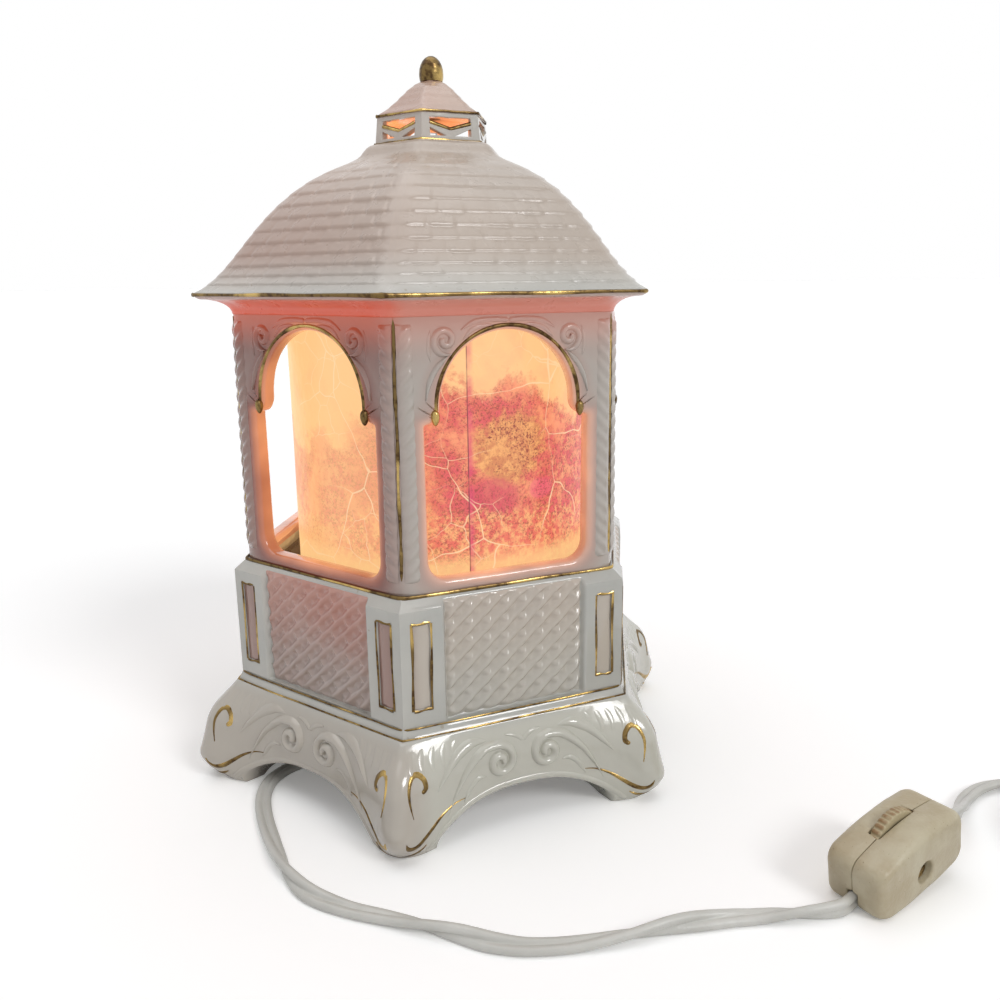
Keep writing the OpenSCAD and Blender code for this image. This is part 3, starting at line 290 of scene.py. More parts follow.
slope, way = np.radians(34), np.radians(187.2)
down_and_out = np.array([np.cos(slope) * np.cos(way), np.cos(slope) * np.sin(way), -np.sin(slope)])
cord_exit = np.array([-14, -1.7, 27.5]) + 24 * down_and_out
lamp_route = np.array([
    [*cord_exit, 0],
    [-39.5, -4.9, 9.8, 0], [-46, -5.7, 5.6, 0], [-53, -6.4, 2.6, 0], [-60, -7.4, 1.5, 0],
    [-66.5, -10, 1.4, 0], [-72.5, -15.5, 1.4, 0], [-76.4, -24.5, 1.4, 0], [-78, -36, 1.4, 0],
    [-78.2, -49, 1.4, 10], [-77.8, -61, 1.4, 40], [-76.8, -72, 1.4, 90], [-73.2, -82, 1.4, 140],
    [-65.4, -91.5, 1.4, 175], [-55.5, -100.6, 1.4, 190], [-48, -107.8, 1.4, 220], [-41, -115, 1.4, 270],
    [-33.4, -121.8, 1.4, 320], [-24.5, -127, 1.4, 350], [-12, -131.2, 1.4, 365], [2, -134.4, 1.4, 400],
    [13, -136.4, 1.4, 450], [23, -138.2, 1.4, 500], [32, -140.2, 1.4, 530], [40.5, -143, 1.4, 550],
    [47.5, -146, 1.4, 580], [53.8, -148.6, 2.2, 610], cord_hole(-25.4, 630), cord_hole(-20.4, 630),
    cord_hole(-14.4, 630)])
lay_cord("lamp_cord", on_table(smooth_line(lamp_route, 6)), ["cord_lamp"])

# The rest of the cord: down from the switch, out of sight to the right, and wound into a tied coil of two
# layers that ends in the plug.
coil_at, coil_mid_r, coil_pitch, coil_turns, coil_rise = np.array([168, -176]), 31, 3.5, 7.0, 6.2
coil_low, coil_out_r = 0.55 + cord_w / 2, coil_mid_r + coil_pitch * coil_turns / 4


def ease_in(x):
    """From 0 to 1 with level ends: three times the square less twice the cube."""
    x = np.clip(x, 0, 1)
    return x * x * (3 - 2 * x)


def coil_line(count=60):
    """One layer spirals in, the cord climbs in half a turn, and the next layer spirals out over it."""
    u = np.arange(int(coil_turns * count) + 1) / count
    r = coil_out_r - coil_pitch * np.where(u < coil_turns / 2, u, coil_turns - u)
    z = coil_low + coil_rise * ease_in((u - coil_turns / 2 + 0.25) / 0.5)
    a = np.radians(45 - 360 * u)
    return np.stack([coil_at[0] + r * np.cos(a), coil_at[1] + r * np.sin(a), z, np.full(len(u), 90.0)], 1)


wound = coil_line()
arriving = np.array([math.sin(math.pi / 4), -math.cos(math.pi / 4), 0, 0])
lead_route = np.vstack([
    cord_hole(14.4, 90), cord_hole(20.4, 90), cord_hole(25.4, 90),
    [[116.5, -138.6, 10.2, 80], [124, -134.2, 7, 60], [131, -128.9, 3.6, 40], [138.8, -124.4, 1.6, 20],
     [149, -122, 1.4, 20], [160.5, -124, 1.5, 45], [172, -130.6, 2.4, 75]],
    wound[0] - 12 * arriving, wound[0] - 3 * arriving])
leaving = wound[-1, :3] - wound[-2, :3]
leaving = np.array([leaving[0], leaving[1], 0]) / np.hypot(leaving[0], leaving[1])
out_of_coil = np.arange(1, 13)[:, None]
tail_long, plug_z = 13, 6.5
tail = np.column_stack([wound[-1, :3] + tail_long * out_of_coil / 12 * leaving, np.full(12, 90.0)])
tail[:, 2] += (plug_z - wound[-1, 2]) * ease_in(out_of_coil[:, 0] / 9)
lay_cord("plug_cord", np.vstack([on_table(smooth_line(lead_route, 6))[:-1], wound, tail]),
         ["cord_lead", "cord_coil"])

# ---- Base skirt ------------------------------------------------------------------------------------------
# The foot of the slip-cast house: a swelling skirt on six fat toes, open in a low arch under each side.
# Scrolls and leaves stand up from it in soft relief under one clear glaze. Hooks, strokes along the arches
# and the toes are painted over the glaze in liquid gold, with dark brown patches that are a painted dark
# reflection.
flat = math.cos(math.pi / 6)                  # a hexagon's flat side over its corner radius
half_side = math.tan(math.pi / 6)             # half a side's width over its distance from the axis
side_turns = np.radians([30, 90, 150, 210, 270, 330])


def six_sides(local):
    """Turns points of one side, as [out from the axis, along the side, up], onto all six sides in order."""
    out, along, up = local[..., 0], local[..., 1], local[..., 2]
    return np.concatenate([np.stack([*turned(out, along, a), up], -1) for a in side_turns], axis=1)


def loop_net(rows, cols):
    """The faces of a grid that closes on itself both ways, like a tyre."""
    i, j = np.meshgrid(np.arange(rows), np.arange(cols), indexing="ij")
    a, b = i * cols + j, i * cols + (j + 1) % cols
    c, d = (i + 1) % rows * cols + j, (i + 1) % rows * cols + (j + 1) % cols
    return np.stack([a, c, d, b], -1).reshape(-1, 4)


def hex_reach(spot):
    """How far out a point lies, measured square to the side that it belongs to."""
    reach = None
    for a in side_turns[:3]:
        one = spot.node("ShaderNodeVectorMath", {0: spot, 1: (math.cos(a), math.sin(a), 0)}, out=1,
                        operation="DOT_PRODUCT").abs()
        reach = one if reach is None else reach.most(one)
    return reach


def porcelain(name, tint=None, glow=None, soften=None, gloss=0.75):
    """Ivory body under a clear, faintly rippled glaze with a few iron specks. tint changes the body's colour
    with
    painted light and shade: where lamplight soaks through it, and on the sides away from the sun. glow is the
    light that comes out of it. gloss is the glaze's."""
    def body(w):
        """Ivory in soft clouds of two tones, with specks where a fine noise is highest."""
        spot, _ = place_on(w)
        cloud = speckle(w, spot, 0.028, 3).ease(0.35, 0.7)
        ivory = cloud.mix((0.44, 0.44, 0.405), (0.51, 0.50, 0.455))
        specks = speckle(w, spot, 0.42, 1).ease(0.735, 0.80)
        ivory = (specks * 0.5).mix(ivory, (0.27, 0.22, 0.14))
        return tint(w, ivory) if tint else ivory

    dull = 0.3 * (0.75 - gloss)
    looks = dict(Base_Color=body, Specular_IOR_Level=0.5, Coat_Weight=gloss, Coat_Roughness=0.04 + dull,
                 Roughness=lambda w: mottle(w, 0.2, 2).ease(0.3, 0.7, 0.13 + dull, 0.22 + dull))
    if glow:
        looks.update(Emission_Color=glow, Emission_Strength=1.0)
    return finish_of(name, bump=lambda w: mottle(w, 0.13, 2), depth=0.0004, soften=soften, **looks)


def gilding():
    """Liquid gold, fired on: bright in long stretches, and dark brown and dull between them, a painted dark
    reflection.
    """
    def dim_reflection(w):
        """Where the gold is painted dark, as a dark reflection: long stretches, and small patches on top of
        them.
        """
        spot, _ = place_on(w)
        stretches = speckle(w, spot, 0.055, 2).ease(0.37, 0.52) * 0.8
        return stretches + speckle(w, spot, 0.5, 3).ease(0.45, 0.7) * 0.3

    return finish_of("liquid_gold", Metallic=1.0,
                     Base_Color=lambda w: dim_reflection(w).mix((0.60, 0.42, 0.15), (0.085, 0.05, 0.022)),
                     Roughness=lambda w: dim_reflection(w).ease(0, 1, 0.16, 0.34),
                     bump=lambda w: mottle(w, 0.45, 2), depth=0.00012)


gold = gilding()
shade = (-41, -31)                            # where, across the lamp, the lit sides give way to the others


def two_sides(w, lit, shade_and_lamplight):
    """Painted light and shade: one colour on the sides that face the sun and a darker, pinker one on those
    that face away from it, painted shade with the lamp's light through the body painted in as well."""
    return place_on(w)[1][0].ease(*shade, 1, 0).mix(lit, shade_and_lamplight)


skirt_h, rim_r, foot_r, side_r, arch_w, arch_h = 35.2, 79, 94.4, 72, 35.4, 13.8
# Two tables up the skirt, by share of its height: how far out it swells, and where its corners set in.
shoulder = np.array([[0, 0.40], [0.05, 0.62], [0.12, 0.82], [0.23, 0.97], [0.29, 1], [0.40, 0.90],
                     [0.54, 0.80], [0.65, 0.73], [0.77, 0.56], [0.89, 0.24], [1, 0]])
rounding = np.array([[0, 0.71], [0.35, 0.76], [0.7, 0.85], [1, 0.97]])


def eased_table(table, x, reach=8):
    """A table of [x, value] points read at x, its kinks eased by a running mean."""
    fine = np.linspace(0, 1, 201)
    raw = np.pad(np.interp(fine, *table.T), reach, mode="reflect", reflect_type="odd")
    return np.interp(x, fine, np.convolve(raw, np.ones(2 * reach + 1) / (2 * reach + 1), "valid"))


def skirt_skin(s, z):
    """[out, along] on the skirt's outside at height z. s runs to 1 along a hollow side that sweeps out as
    the power 2.5, and on to 2 round half of the corner, a curve whose crown is the corner's reach."""
    leaves = eased_table(rounding, z / skirt_h)
    reach = rim_r + (foot_r - rim_r) * eased_table(shoulder, z / skirt_h)
    middle = side_r - (side_r - rim_r * flat) * np.maximum(0, 2.2 * z / skirt_h - 1.2) ** 2

    def at(share, corner):
        """A point on a side whose corner has that reach, at a share of the way to it."""
        return np.stack([middle + (corner * flat - middle) * share ** 2.5, share * corner / 2])

    start = at(leaves, reach)
    corner = reach + 0.62 * (reach - start[0] * flat - start[1] / 2)
    p = at(np.minimum(np.abs(s), 1) * leaves, corner)
    beyond = np.stack([p[0] / 2 + p[1] * flat, p[0] * flat - p[1] / 2])
    t = np.maximum(np.abs(s) - 1, 0) / 2
    q = (1 - t) ** 2 * p + 2 * t * (1 - t) * np.stack([corner * flat, corner / 2]) + t * t * beyond
    return q[0], q[1] * np.sign(s)


def skirt_out(u, z):
    """Distance of the skirt's face from the axis at u along a side: s is halved in on until it fits u."""
    u, z = np.broadcast_arrays(np.asarray(u, float), np.asarray(z, float))
    low, high = np.zeros(u.shape), np.full(u.shape, 2.0)
    for _ in range(26):
        middle = (low + high) / 2
        beyond = skirt_skin(middle, z)[1] > np.abs(u)
        low, high = np.where(beyond, low, middle), np.where(beyond, middle, high)
    return skirt_skin(low, z)[0]


def arch_edge(u):
    """Height of the skirt's lower edge: a flattened arch between the feet."""
    return arch_h * np.clip(1 - np.abs(u / arch_w) ** 2.4, 0, 1) ** 0.9


def skirt_shell(rows=34, inner=4):
    """Down the outside from rim to lower edge, round the edge, and up the inside; round all six sides."""
    half = np.concatenate([1 - np.linspace(1, 0, 30)[:-1] ** 1.5, np.linspace(1, 2, 11)])
    s = np.concatenate([-half[:0:-1][1:], half])
    low = arch_edge(np.minimum(np.abs(s), 1) * 0.74 * (foot_r + 5) / 2)
    t = np.linspace(0, 1, rows)[:, None]
    z = skirt_h - t * (skirt_h - low - 1.2)
    out, u = skirt_skin(s + 0 * z, z)
    face = np.stack([out, u, z], -1)
    turn = np.linspace(0, np.pi / 2, 5)[1:, None]
    shrink = 1 - 1.4 * (1 - np.cos(turn)) / face[-1, :, 0]
    lip = np.stack([face[-1, :, 0] * shrink, face[-1, :, 1] * shrink, low + 1.2 * (1 - np.sin(turn))], -1)
    back_z = np.linspace(0, 1, inner)[:, None] * (skirt_h - low) + low
    share = np.interp(np.abs(s), [0, 1, 2], [0, 0.80, 0.98]) * np.sign(s)
    back = np.stack([67.5 + 0 * back_z, 67.5 * share * half_side + 0 * back_z, back_z], -1)
    return six_sides(np.concatenate([face, lip, back]))


# Painted shade: below the rim the skirt is lighter on the sides that face the sun and darker on the others.
skirt_clay = porcelain("skirt_porcelain", tint=lambda w, ivory: place_on(w)[1][2].ease(32, 37, 1, 0).mix(
    ivory, two_sides(w, (0.52, 0.51, 0.44), (0.46, 0.42, 0.36))))
shell = skirt_shell()
skirt = add_mesh("skirt_shell", shell / 1000, loop_net(*shell.shape[:2]), skirt_clay)
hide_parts("base_skirt")
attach(skirt, "house")


def ridge_on(face, line, half, height, sink=0.15, count=7):
    """A soft ridge that follows a line drawn on a face: [along, up] points with a half width and a height
    at each. Across, it is a bell, one less the square of the share of the way out, sunk at its edges."""
    line = np.asarray(line, float)
    half, height = (np.broadcast_to(v, len(line)).astype(float)[:, None] for v in (half, height))
    ahead = np.gradient(line, axis=0)
    ahead /= np.maximum(np.linalg.norm(ahead, axis=1, keepdims=True), 1e-9)
    q = np.linspace(-1, 1, count)[None]
    u = line[:, :1] - ahead[:, 1:] * half * q
    z = line[:, 1:] + ahead[:, :1] * half * q
    return np.stack([face(u, z) + height * (1 - q ** 2) - sink, u, z], -1)


def strewn(name, patches, material, mirrored=True):
    """Ridges drawn for one side, set on all six as one mesh, each with its mirror image beside it."""
    points, faces, first = [], [], 0
    for patch in patches:
        rows, cols = patch.shape[:2]
        both = [(patch, 1)] + ([(patch * [1, -1, 1], -1)] if mirrored else [])
        for one, way in both:
            turned = six_sides(one).reshape(rows, 6, cols, 3).transpose(1, 0, 2, 3)
            for k in range(6):
                points.append(turned[k].reshape(-1, 3))
                faces.append(net(rows, cols, first=first)[:, ::-way])
                first += rows * cols
    piece = add_mesh(name, np.concatenate(points) / 1000, np.concatenate(faces), material)
    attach(piece, "house")
    return piece


def swell(count, start=0.25, end=0.25, power=0.6):
    """A brush stroke's width along its length: thin at its start and end, full between."""
    t = np.linspace(0, 1, count)
    return np.clip(np.minimum(t / max(start, 1e-3), (1 - t) / max(end, 1e-3)), 0.06, 1) ** power


def through(points, count=24):
    """A smooth line through a few [along, up] points."""
    p = np.asarray(points, float)
    line = smooth_line(np.column_stack([p, np.zeros((len(p), 2))]), 12)[:, :2]
    run = np.concatenate([[0], np.cumsum(np.linalg.norm(np.diff(line, axis=0), axis=1))])
    even = np.linspace(0, run[-1], count)
    return np.column_stack([np.interp(even, run, line[:, k]) for k in (0, 1)])


def scroll(centre, outer, inner, turns, start, count=40):
    """A spiral, anticlockwise from its outer end at an angle in degrees to its eye. Its radius falls as the
    power 0.9 of the share of the way."""
    t = np.linspace(0, 1, count)
    a = np.radians(start) + 2 * np.pi * turns * t
    r = outer + (inner - outer) * t ** 0.9
    return np.column_stack([centre[0] + r * np.cos(a), centre[1] + r * np.sin(a)])


volute = np.vstack([through([(27.5, 11.0), (24.2, 17.2), (19.8, 23.4), (14.0, 28.0), (8.9, 28.8)], 30)[:-1],
                    scroll((8.4, 23.3), 5.5, 0.5, 1.45, 84, 44)])
carving = [
    ridge_on(skirt_out, volute, 1.6 * swell(73, 0.3, 0.08, 0.8), 1.65 * swell(73, 0.3, 0.05)),
    ridge_on(skirt_out, through([(12.5, 30.6), (17.5, 30.9), (22.5, 28.8), (27.2, 24.6), (31, 20.0)], 30),
             1.9 * swell(30, 0.3, 0.6), 1.15 * swell(30)),
    ridge_on(skirt_out, through([(13.6, 19.4), (16.4, 19.4), (19.4, 16.8), (21.6, 13.2)], 20),
             1.0 * swell(20), 0.55),
    ridge_on(skirt_out, through([(0, 28.6), (2.6, 30.4), (6.2, 31.2)], 16), 0.9 * swell(16, 0.05, 0.5), 0.5)]
for k in range(5):
    top = 22.5 + 3.7 * k
    leaf_rib = through([(top, 33.4), (top + 1.4, 31.0), (top + 1.8, 28.2), (top + 1.0, 25.6)], 14)
    carving.append(ridge_on(skirt_out, leaf_rib, 1.5 * swell(14, 0.3, 0.6), 0.32 * swell(14)))
edge_u = 35.6 * np.sin(np.linspace(0, np.pi / 2, 60))
carving.append(ridge_on(skirt_out, np.column_stack([edge_u, arch_edge(edge_u) + 1.1]), 1.1, 0.5, sink=0.12))
strewn("skirt_carving", carving, skirt_clay)

hook = through([(35.4, 21.6), (34.9, 23.4), (35.6, 25.8), (37.6, 27.4), (39.6, 26.6), (40.9, 23.8),
                (41.0, 20.2), (40.2, 15.6)], 40)
stroke = through([(20.6, 14.6), (25.2, 14.0), (29.8, 12.0), (33.6, 9.4), (37.2, 7.0), (40.4, 6.0),
                  (42.6, 6.8), (43.4, 9.0)], 44)
brushwork = [ridge_on(skirt_out, hook, 0.95 * swell(40, 0.04, 0.75, 0.7), 0.34, sink=0.08),
             ridge_on(skirt_out, scroll((35.9, 22.2), 0.75, 0.05, 1.0, 90, 12), 0.55, 0.38, sink=0.08),
             ridge_on(skirt_out, stroke, 0.95 * swell(44, 0.7, 0.10, 0.8), 0.34, sink=0.08)]
toe = np.linspace(1.02, 2.0, 18)[:, None]
q = np.linspace(-1, 1, 7)[None]
toe_z = 2.3 + 2.6 * (2 - toe) ** 2.5 + 0.95 * q * swell(36, 0.35, 0.01)[:18, None]
out, u = skirt_skin(toe + 0 * toe_z, toe_z)
brushwork.append(np.stack([out + 0.30 * (1 - q ** 2) - 0.06, u, toe_z], -1))
strewn("skirt_brushwork", brushwork, gold)

# ---- Pedestal --------------------------------------------------------------------------------------------
# The box under the windows. Each side has a sunk panel of woven lattice between two plain piers, and each
# pier a narrow inset glazed in pale pink and outlined in gold. Gold lines run round its foot and its belt.
floor_z, pedestal_top, belt_z, wall_top = 35.2, 76.0, 79.2, 162.5
pedestal_r, wall_r = 77, 72.3                 # reach of their corners
pedestal_out, lattice_out = pedestal_r * flat, pedestal_r * flat - 2.2
lattice_half, lattice_low, inset_at = 24.6, 38.0, 31.8


def step(x, edge, width):
    """0 below the edge and 1 above it, with a soft step of the given width."""
    return ease_in((x - edge) / width + 0.5)


def pedestal_skin():
    """One side as a sheet: [out, along, up]. A fillet at the foot, a bevel to the belt, and between them
    a face that sinks softly into the panel and more sharply into the two insets. Its corners are eased."""
    half = np.concatenate([np.linspace(0, 22, 5), np.linspace(22.6, 25.4, 8), np.linspace(26.6, 28.3, 3),
                           np.linspace(28.5, 29.1, 4), np.linspace(29.9, 33.7, 4), np.linspace(34.5, 35.1, 4),
                           np.linspace(35.6, 38.5, 12)])
    share = np.concatenate([-half[:0:-1], half]) / (pedestal_r / 2)
    z = np.concatenate([np.linspace(0, 2.3, 5), np.linspace(2.9, 4.6, 5), np.linspace(6, 8.1, 3),
                        np.linspace(8.4, 8.9, 4), np.linspace(11, 34, 9), np.linspace(36.1, 36.8, 4),
                        np.linspace(38, 40.3, 4), np.linspace(40.8, 44.0, 9)]) + floor_z
    corner = np.interp(z - floor_z, [0, 0.6, 2.3, 2.9, 40.2, 40.8, 41.6, 44.0],
                       [78.9, 78.4, 77.5, 77.15, 77.15, 76.9, 76.2, 73.05])[:, None]
    z, u = z[:, None] + 0 * share, share * corner / 2
    out = corner * flat - 1.15 * np.abs(share) ** 17
    panel = (1 - step(np.abs(u), 24.0, 1.7)) * step(z, 38.3, 1.2)
    out = np.where(panel > 0, np.minimum(out, out * (1 - panel) + (lattice_out + 0.12) * panel), out)
    inset = 1 - step(np.abs(np.abs(u) - inset_at), 2.95, 0.35)
    inset = inset * step(z, 43.75, 0.35) * (1 - step(z, 71.65, 0.35))
    return np.stack([out - 0.8 * inset, u, z], -1)


strewn("pedestal_face", [pedestal_skin()[:, ::-1]], skirt_clay, mirrored=False)


def refinish(node, material):
    """Gives a piece of the build another material and leaves its shape alone."""
    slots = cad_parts[node].data.materials
    slots.clear()
    slots.append(material)


refinish("pedestal", skirt_clay)


def weave(u, z, lean, pitch, other):
    """Ribs that lean by an angle, each dipping a little where the other set passes over it."""
    a, b = np.radians(lean), np.radians(other)
    across = (u * np.sin(a) - z * np.cos(a)) / pitch
    run = (u * np.sin(b) - z * np.cos(b)) / pitch
    rib = 0.5 + 0.5 * np.cos(2 * np.pi * across)
    over = 0.5 + 0.5 * np.cos(np.pi * (run + np.floor(across + 0.5)))
    return rib ** 1.15, over


def lattice_sheet(cols=128, rows=104):
    """Long ribs that rise to the right, with short ones woven under them the other way. The sheet bends
    back with the bevel at its top and sinks in at its edge."""
    u, z = np.meshgrid(np.linspace(-lattice_half, lattice_half, cols), np.linspace(lattice_low, 78.2, rows))
    long_rib, long_over = weave(u, z, 41, 4.35, -46)
    short_rib, short_over = weave(u, z, -46, 4.1, 41)
    height = np.maximum(1.6 * long_rib * (0.74 + 0.26 * long_over),
                        0.95 * short_rib * (0.4 + 0.6 * short_over))
    edge = np.minimum(np.minimum(lattice_half - np.abs(u), z - lattice_low) / 2.6, (78.6 - z) / 0.8)
    out = lattice_out + 0.2 + height * ease_in(edge)
    bevel = pedestal_out - (z - pedestal_top) * (pedestal_out - 63.1) / 3.2 - 0.05
    return np.stack([np.where(z > pedestal_top, np.minimum(out, bevel), out), u, z], -1)


def shade_and_lamplight(w, ivory):
    """Painted light and shade: pinker where lamplight soaks through the thin panel, most so near the belt,
    and darker on the side away from the sun.
    """
    spot, (_, _, up) = place_on(w)
    share = up.ease(38, 78, 0.7, 1) * speckle(w, spot, 0.05, 2).ease(0.3, 0.7, 0.75, 1)
    return share.mix(ivory, two_sides(w, (0.49, 0.445, 0.375), (0.34, 0.185, 0.145)))


def seeping(w):
    """A little red light through the panel, more towards the belt and on the darker side."""
    _, (x, _, up) = place_on(w)
    return (up.ease(44, 80) * x.ease(*shade, 1, 0.25)).mix((0, 0, 0), (0.10, 0.02, 0.01))


panel_clay = porcelain("panel_porcelain", tint=shade_and_lamplight, glow=seeping)
lattice = strewn("woven_lattice", [lattice_sheet()[:, ::-1]], panel_clay, mirrored=False)
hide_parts("lattice_panels")

# Painted shade: the insets' pale pink turns darker and pinker on the sides away from the sun, with painted
# lamplight.
pink_glaze = porcelain("pink_glaze",
                       tint=lambda w, ivory: two_sides(w, (0.51, 0.455, 0.385), (0.36, 0.22, 0.18)))
inset_u, inset_z = np.meshgrid(np.linspace(28.9, 34.7, 7), np.linspace(43.8, 71.6, 15))
inset = np.stack([pedestal_out - 0.62 + 0.2 * np.cos((inset_u - inset_at) / 2.9 * 1.5), inset_u, inset_z], -1)
strewn("pink_insets", [inset[:, ::-1]], pink_glaze)


def plain_out(distance):
    """A face that lies everywhere at one distance from the axis."""
    return lambda u, z: distance + 0 * u


box = np.array([(28.7, 43.5), (34.9, 43.5), (34.9, 71.9), (28.7, 71.9), (28.7, 43.5)])
drift = np.linspace(0, 1, 20)[:, None]
outline = []
for k in range(4):
    drawn = box[k] + (box[k + 1] - box[k]) * drift + 0.16 * np.sin([5.0, 6.3] * drift + 1.3 * k)
    outline.append(ridge_on(plain_out(pedestal_out + 0.12), drawn, 0.42 + 0.1 * np.sin(9 * drift[:, 0] + k),
                            0.26, sink=0.06, count=5))
strewn("inset_outlines", outline, gold)


def gold_band(name, corner_r, height, thick, seed, ease=3.0, tall=1.0):
    """A painted band round the house: a thin tube along a six-sided line whose corners are eased. Its
    thickness drifts as the brush was loaded and ran dry, and it pools a little at each corner."""
    s = np.linspace(-1, 1, 61)[:-1]
    turn = np.linspace(0, 2 * np.pi, 9)[:-1]
    rng = np.random.default_rng(seed)
    drift, wander = (np.convolve(rng.normal(0, 1, 60 * 6 + 24), np.hanning(25) / 6, "valid").reshape(6, 60)
                     for _ in range(2))
    rings = []
    for side in range(6):
        r = thick * (0.85 + 0.2 * drift[side] + 0.35 * np.abs(s) ** 18)
        cut = ease * 0.155 * np.abs(s) ** 16
        out, u = corner_r * flat - cut, s * corner_r / 2 - np.sign(s) * cut * half_side
        rings.append(np.stack([out + r * np.cos(turn)[:, None] * 0.6, u + 0 * turn[:, None],
                               height + 0.12 * wander[side] + tall * r * np.sin(turn)[:, None]], -1))
    rings = np.array(rings)
    world = np.stack([*turned(rings[..., 0], rings[..., 1], side_turns[:, None, None]), rings[..., 2]], -1)
    world = world.transpose(1, 0, 2, 3).reshape(8, 360, 3)
    band = add_mesh(name, world / 1000, loop_net(8, 360)[:, ::-1], gold)
    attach(band, "house")


gold_band("rim_line", 79.0, 35.3, 0.5, 1, ease=1.5)
gold_band("foot_line", 77.6, 38.0, 0.42, 2, ease=5.0)
gold_band("belt_line", 73.3, 79.3, 0.62, 3)

# ---- Roof ------------------------------------------------------------------------------------------------
# A belled six-sided roof cast in one with the tower: courses of shallow shingles staggered from row to row,
# a plain flared eave with a gold edge, a cove under it, and a rounded curb that carries the cupola.
roof_curve = np.array([(25.6, 212.0), (62.2, 201.8), (67.0, 176.3), (83.0, 169.5)])
courses = 13


def bend(points, t):
    """A cubic curve with two handles."""
    t = np.asarray(t)[:, None]
    p = points
    return (1 - t) ** 3 * p[0] + 3 * (1 - t) ** 2 * t * p[1] + 3 * (1 - t) * t ** 2 * p[2] + t ** 3 * p[3]


def roof_shell(cols=96):
    """Round the roof's section: down over the curb and the shingled slope, round the eave and cove, and up
    the inside. Each course swells towards its lower edge and rounds back in under it. A shingle's joints
    are shallow grooves, its tilt a small random lift, and both fade out on the smooth rounded ridges."""
    within = np.array([0, 0.22, 0.45, 0.66, 0.78, 0.88, 0.95])
    t = np.concatenate([(np.arange(courses)[:, None] + within).ravel() / courses, [1]])
    t = t[t > 0.035]
    slope_line = bend(roof_curve, t)
    curb = np.array([(20.4, 216.65), (21.7, 216.55), (23.0, 216.15), (24.3, 215.3), (25.4, 214.1),
                     (26.4, 212.9), (27.6, 211.95)])
    a = np.linspace(0, np.pi / 2, 9)[::-1]
    cove = np.column_stack([71.9 + 10.0 * (1 - np.cos(a)), wall_top + 4.8 * np.sin(a)])
    eave = np.array([(83.5, 169.2), (83.6, 168.6), (83.1, 167.9)])
    inside = np.column_stack([np.full(2, 65.9), [162.5, 165.0]])
    under = bend(roof_curve, np.linspace(0.92, 0.05, 14)) - [5.3, 2.85]
    throat = np.array([(19.7, 208.4), (19.7, 216.65)])
    under[:, 0] = np.maximum(under[:, 0], throat[0, 0])
    section = np.vstack([curb, slope_line, eave, cove, inside, under, throat])
    half = np.linspace(0, 1, cols // 2 + 1) ** 0.85
    s = np.concatenate([-half[:0:-1], half[:-1]])
    R, z = section[:, :1], section[:, 1:]
    lift = np.zeros((len(section), cols, 6))
    rng = np.random.default_rng(5)
    k = np.minimum((t * courses + 1e-6).astype(int), courses - 1)
    f = t * courses - k
    relief = np.array([0.28, 0.24, 0.30, 0.32, 0.17, 0.26])
    plain = 1 - ease_in((np.abs(s) * slope_line[:, :1] / 2 - slope_line[:, :1] / 2 + 5.5) / 4.0)
    for row in range(courses - 1):
        here = np.where(k == row)[0]
        wide = slope_line[here[len(here) // 2], 0]
        count = max(3, int(round(wide / 8.6)))
        phase = 0.5 * (row % 2) + rng.uniform(-0.12, 0.12, 6)
        x = (s[:, None] + 1) / 2 * count + phase
        joint = np.abs(x - np.round(x)) / count * wide
        groove = relief * np.exp(-(joint / 0.75) ** 2)
        tilt = rng.uniform(-0.09, 0.11, (count + 3, 6))[np.floor(x).astype(int) + 1, np.arange(6)]
        near = np.clip(joint / 0.8, 0, 1)
        shown = np.clip(f[here] * 1.4, 0.2, 1)[:, None] * plain[here]
        lift[len(curb) + here] = (tilt * near - groove)[None] * shown[..., None]
    tooth = 0.62 * f * (1 - ease_in((f - 0.74) / 0.26)) * (k < courses - 1) * np.clip(k / 2, 0.4, 1)
    lift[len(curb):len(curb) + len(t)] += (tooth[:, None] * (0.35 + 0.65 * plain))[..., None]
    round_off = 0.92 * np.abs(s) ** np.maximum(R * 0.36, 5) * np.minimum(R / 36, 1)
    sides = []
    for side, a in enumerate(side_turns):
        out = R * flat - round_off + lift[:, :, side] * 0.8
        up = z + lift[:, :, side] * 0.5 + 0 * s
        u = s * R / 2 - np.sign(s) * round_off * half_side
        sides.append(np.stack([*turned(out, u, a), up], -1))
    return np.concatenate(sides, axis=1)


def roof_glow(w):
    """Lamplight: coral under the eave, strongest at the wall, and a faint warmth through the slope."""
    spot, (x, _, up) = place_on(w)
    under = hex_reach(spot).ease(60, 73.5, 1, 0.1) * up.ease(168.5, 169.3, 1, 0) * x.ease(*shade, 1, 0.72)
    through_wall = up.ease(168, 172, 0, 1) * up.ease(176, 215, 0.5, 1) * x.ease(-55, 20, 0.05, 0.012)
    return under.mix(through_wall.mix((0, 0, 0), (1.0, 0.33, 0.16)), (0.46, 0.06, 0.025))


def roof_shade_and_blush(w, ivory):
    """Painted light and shade: the body is pinker where the lamp behind it shines through the wall of the
    roof, darker on the side away from the sun, and darker and redder under the eave, painted shade with
    lamplight.
    """
    spot, (x, _, up) = place_on(w)
    soak = up.ease(169, 182, 0.1, 1) * speckle(w, spot, 0.02, 1).ease(0.2, 0.8, 0.7, 1)
    body = soak.mix(ivory, x.ease(-70, -10).mix((0.385, 0.26, 0.21), (0.45, 0.375, 0.31)))
    under = hex_reach(spot).ease(62, 73.5, 1, 0.3) * up.ease(168.5, 169.3, 1, 0)
    return under.mix(body, two_sides(w, (0.36, 0.23, 0.19), (0.21, 0.045, 0.03)))


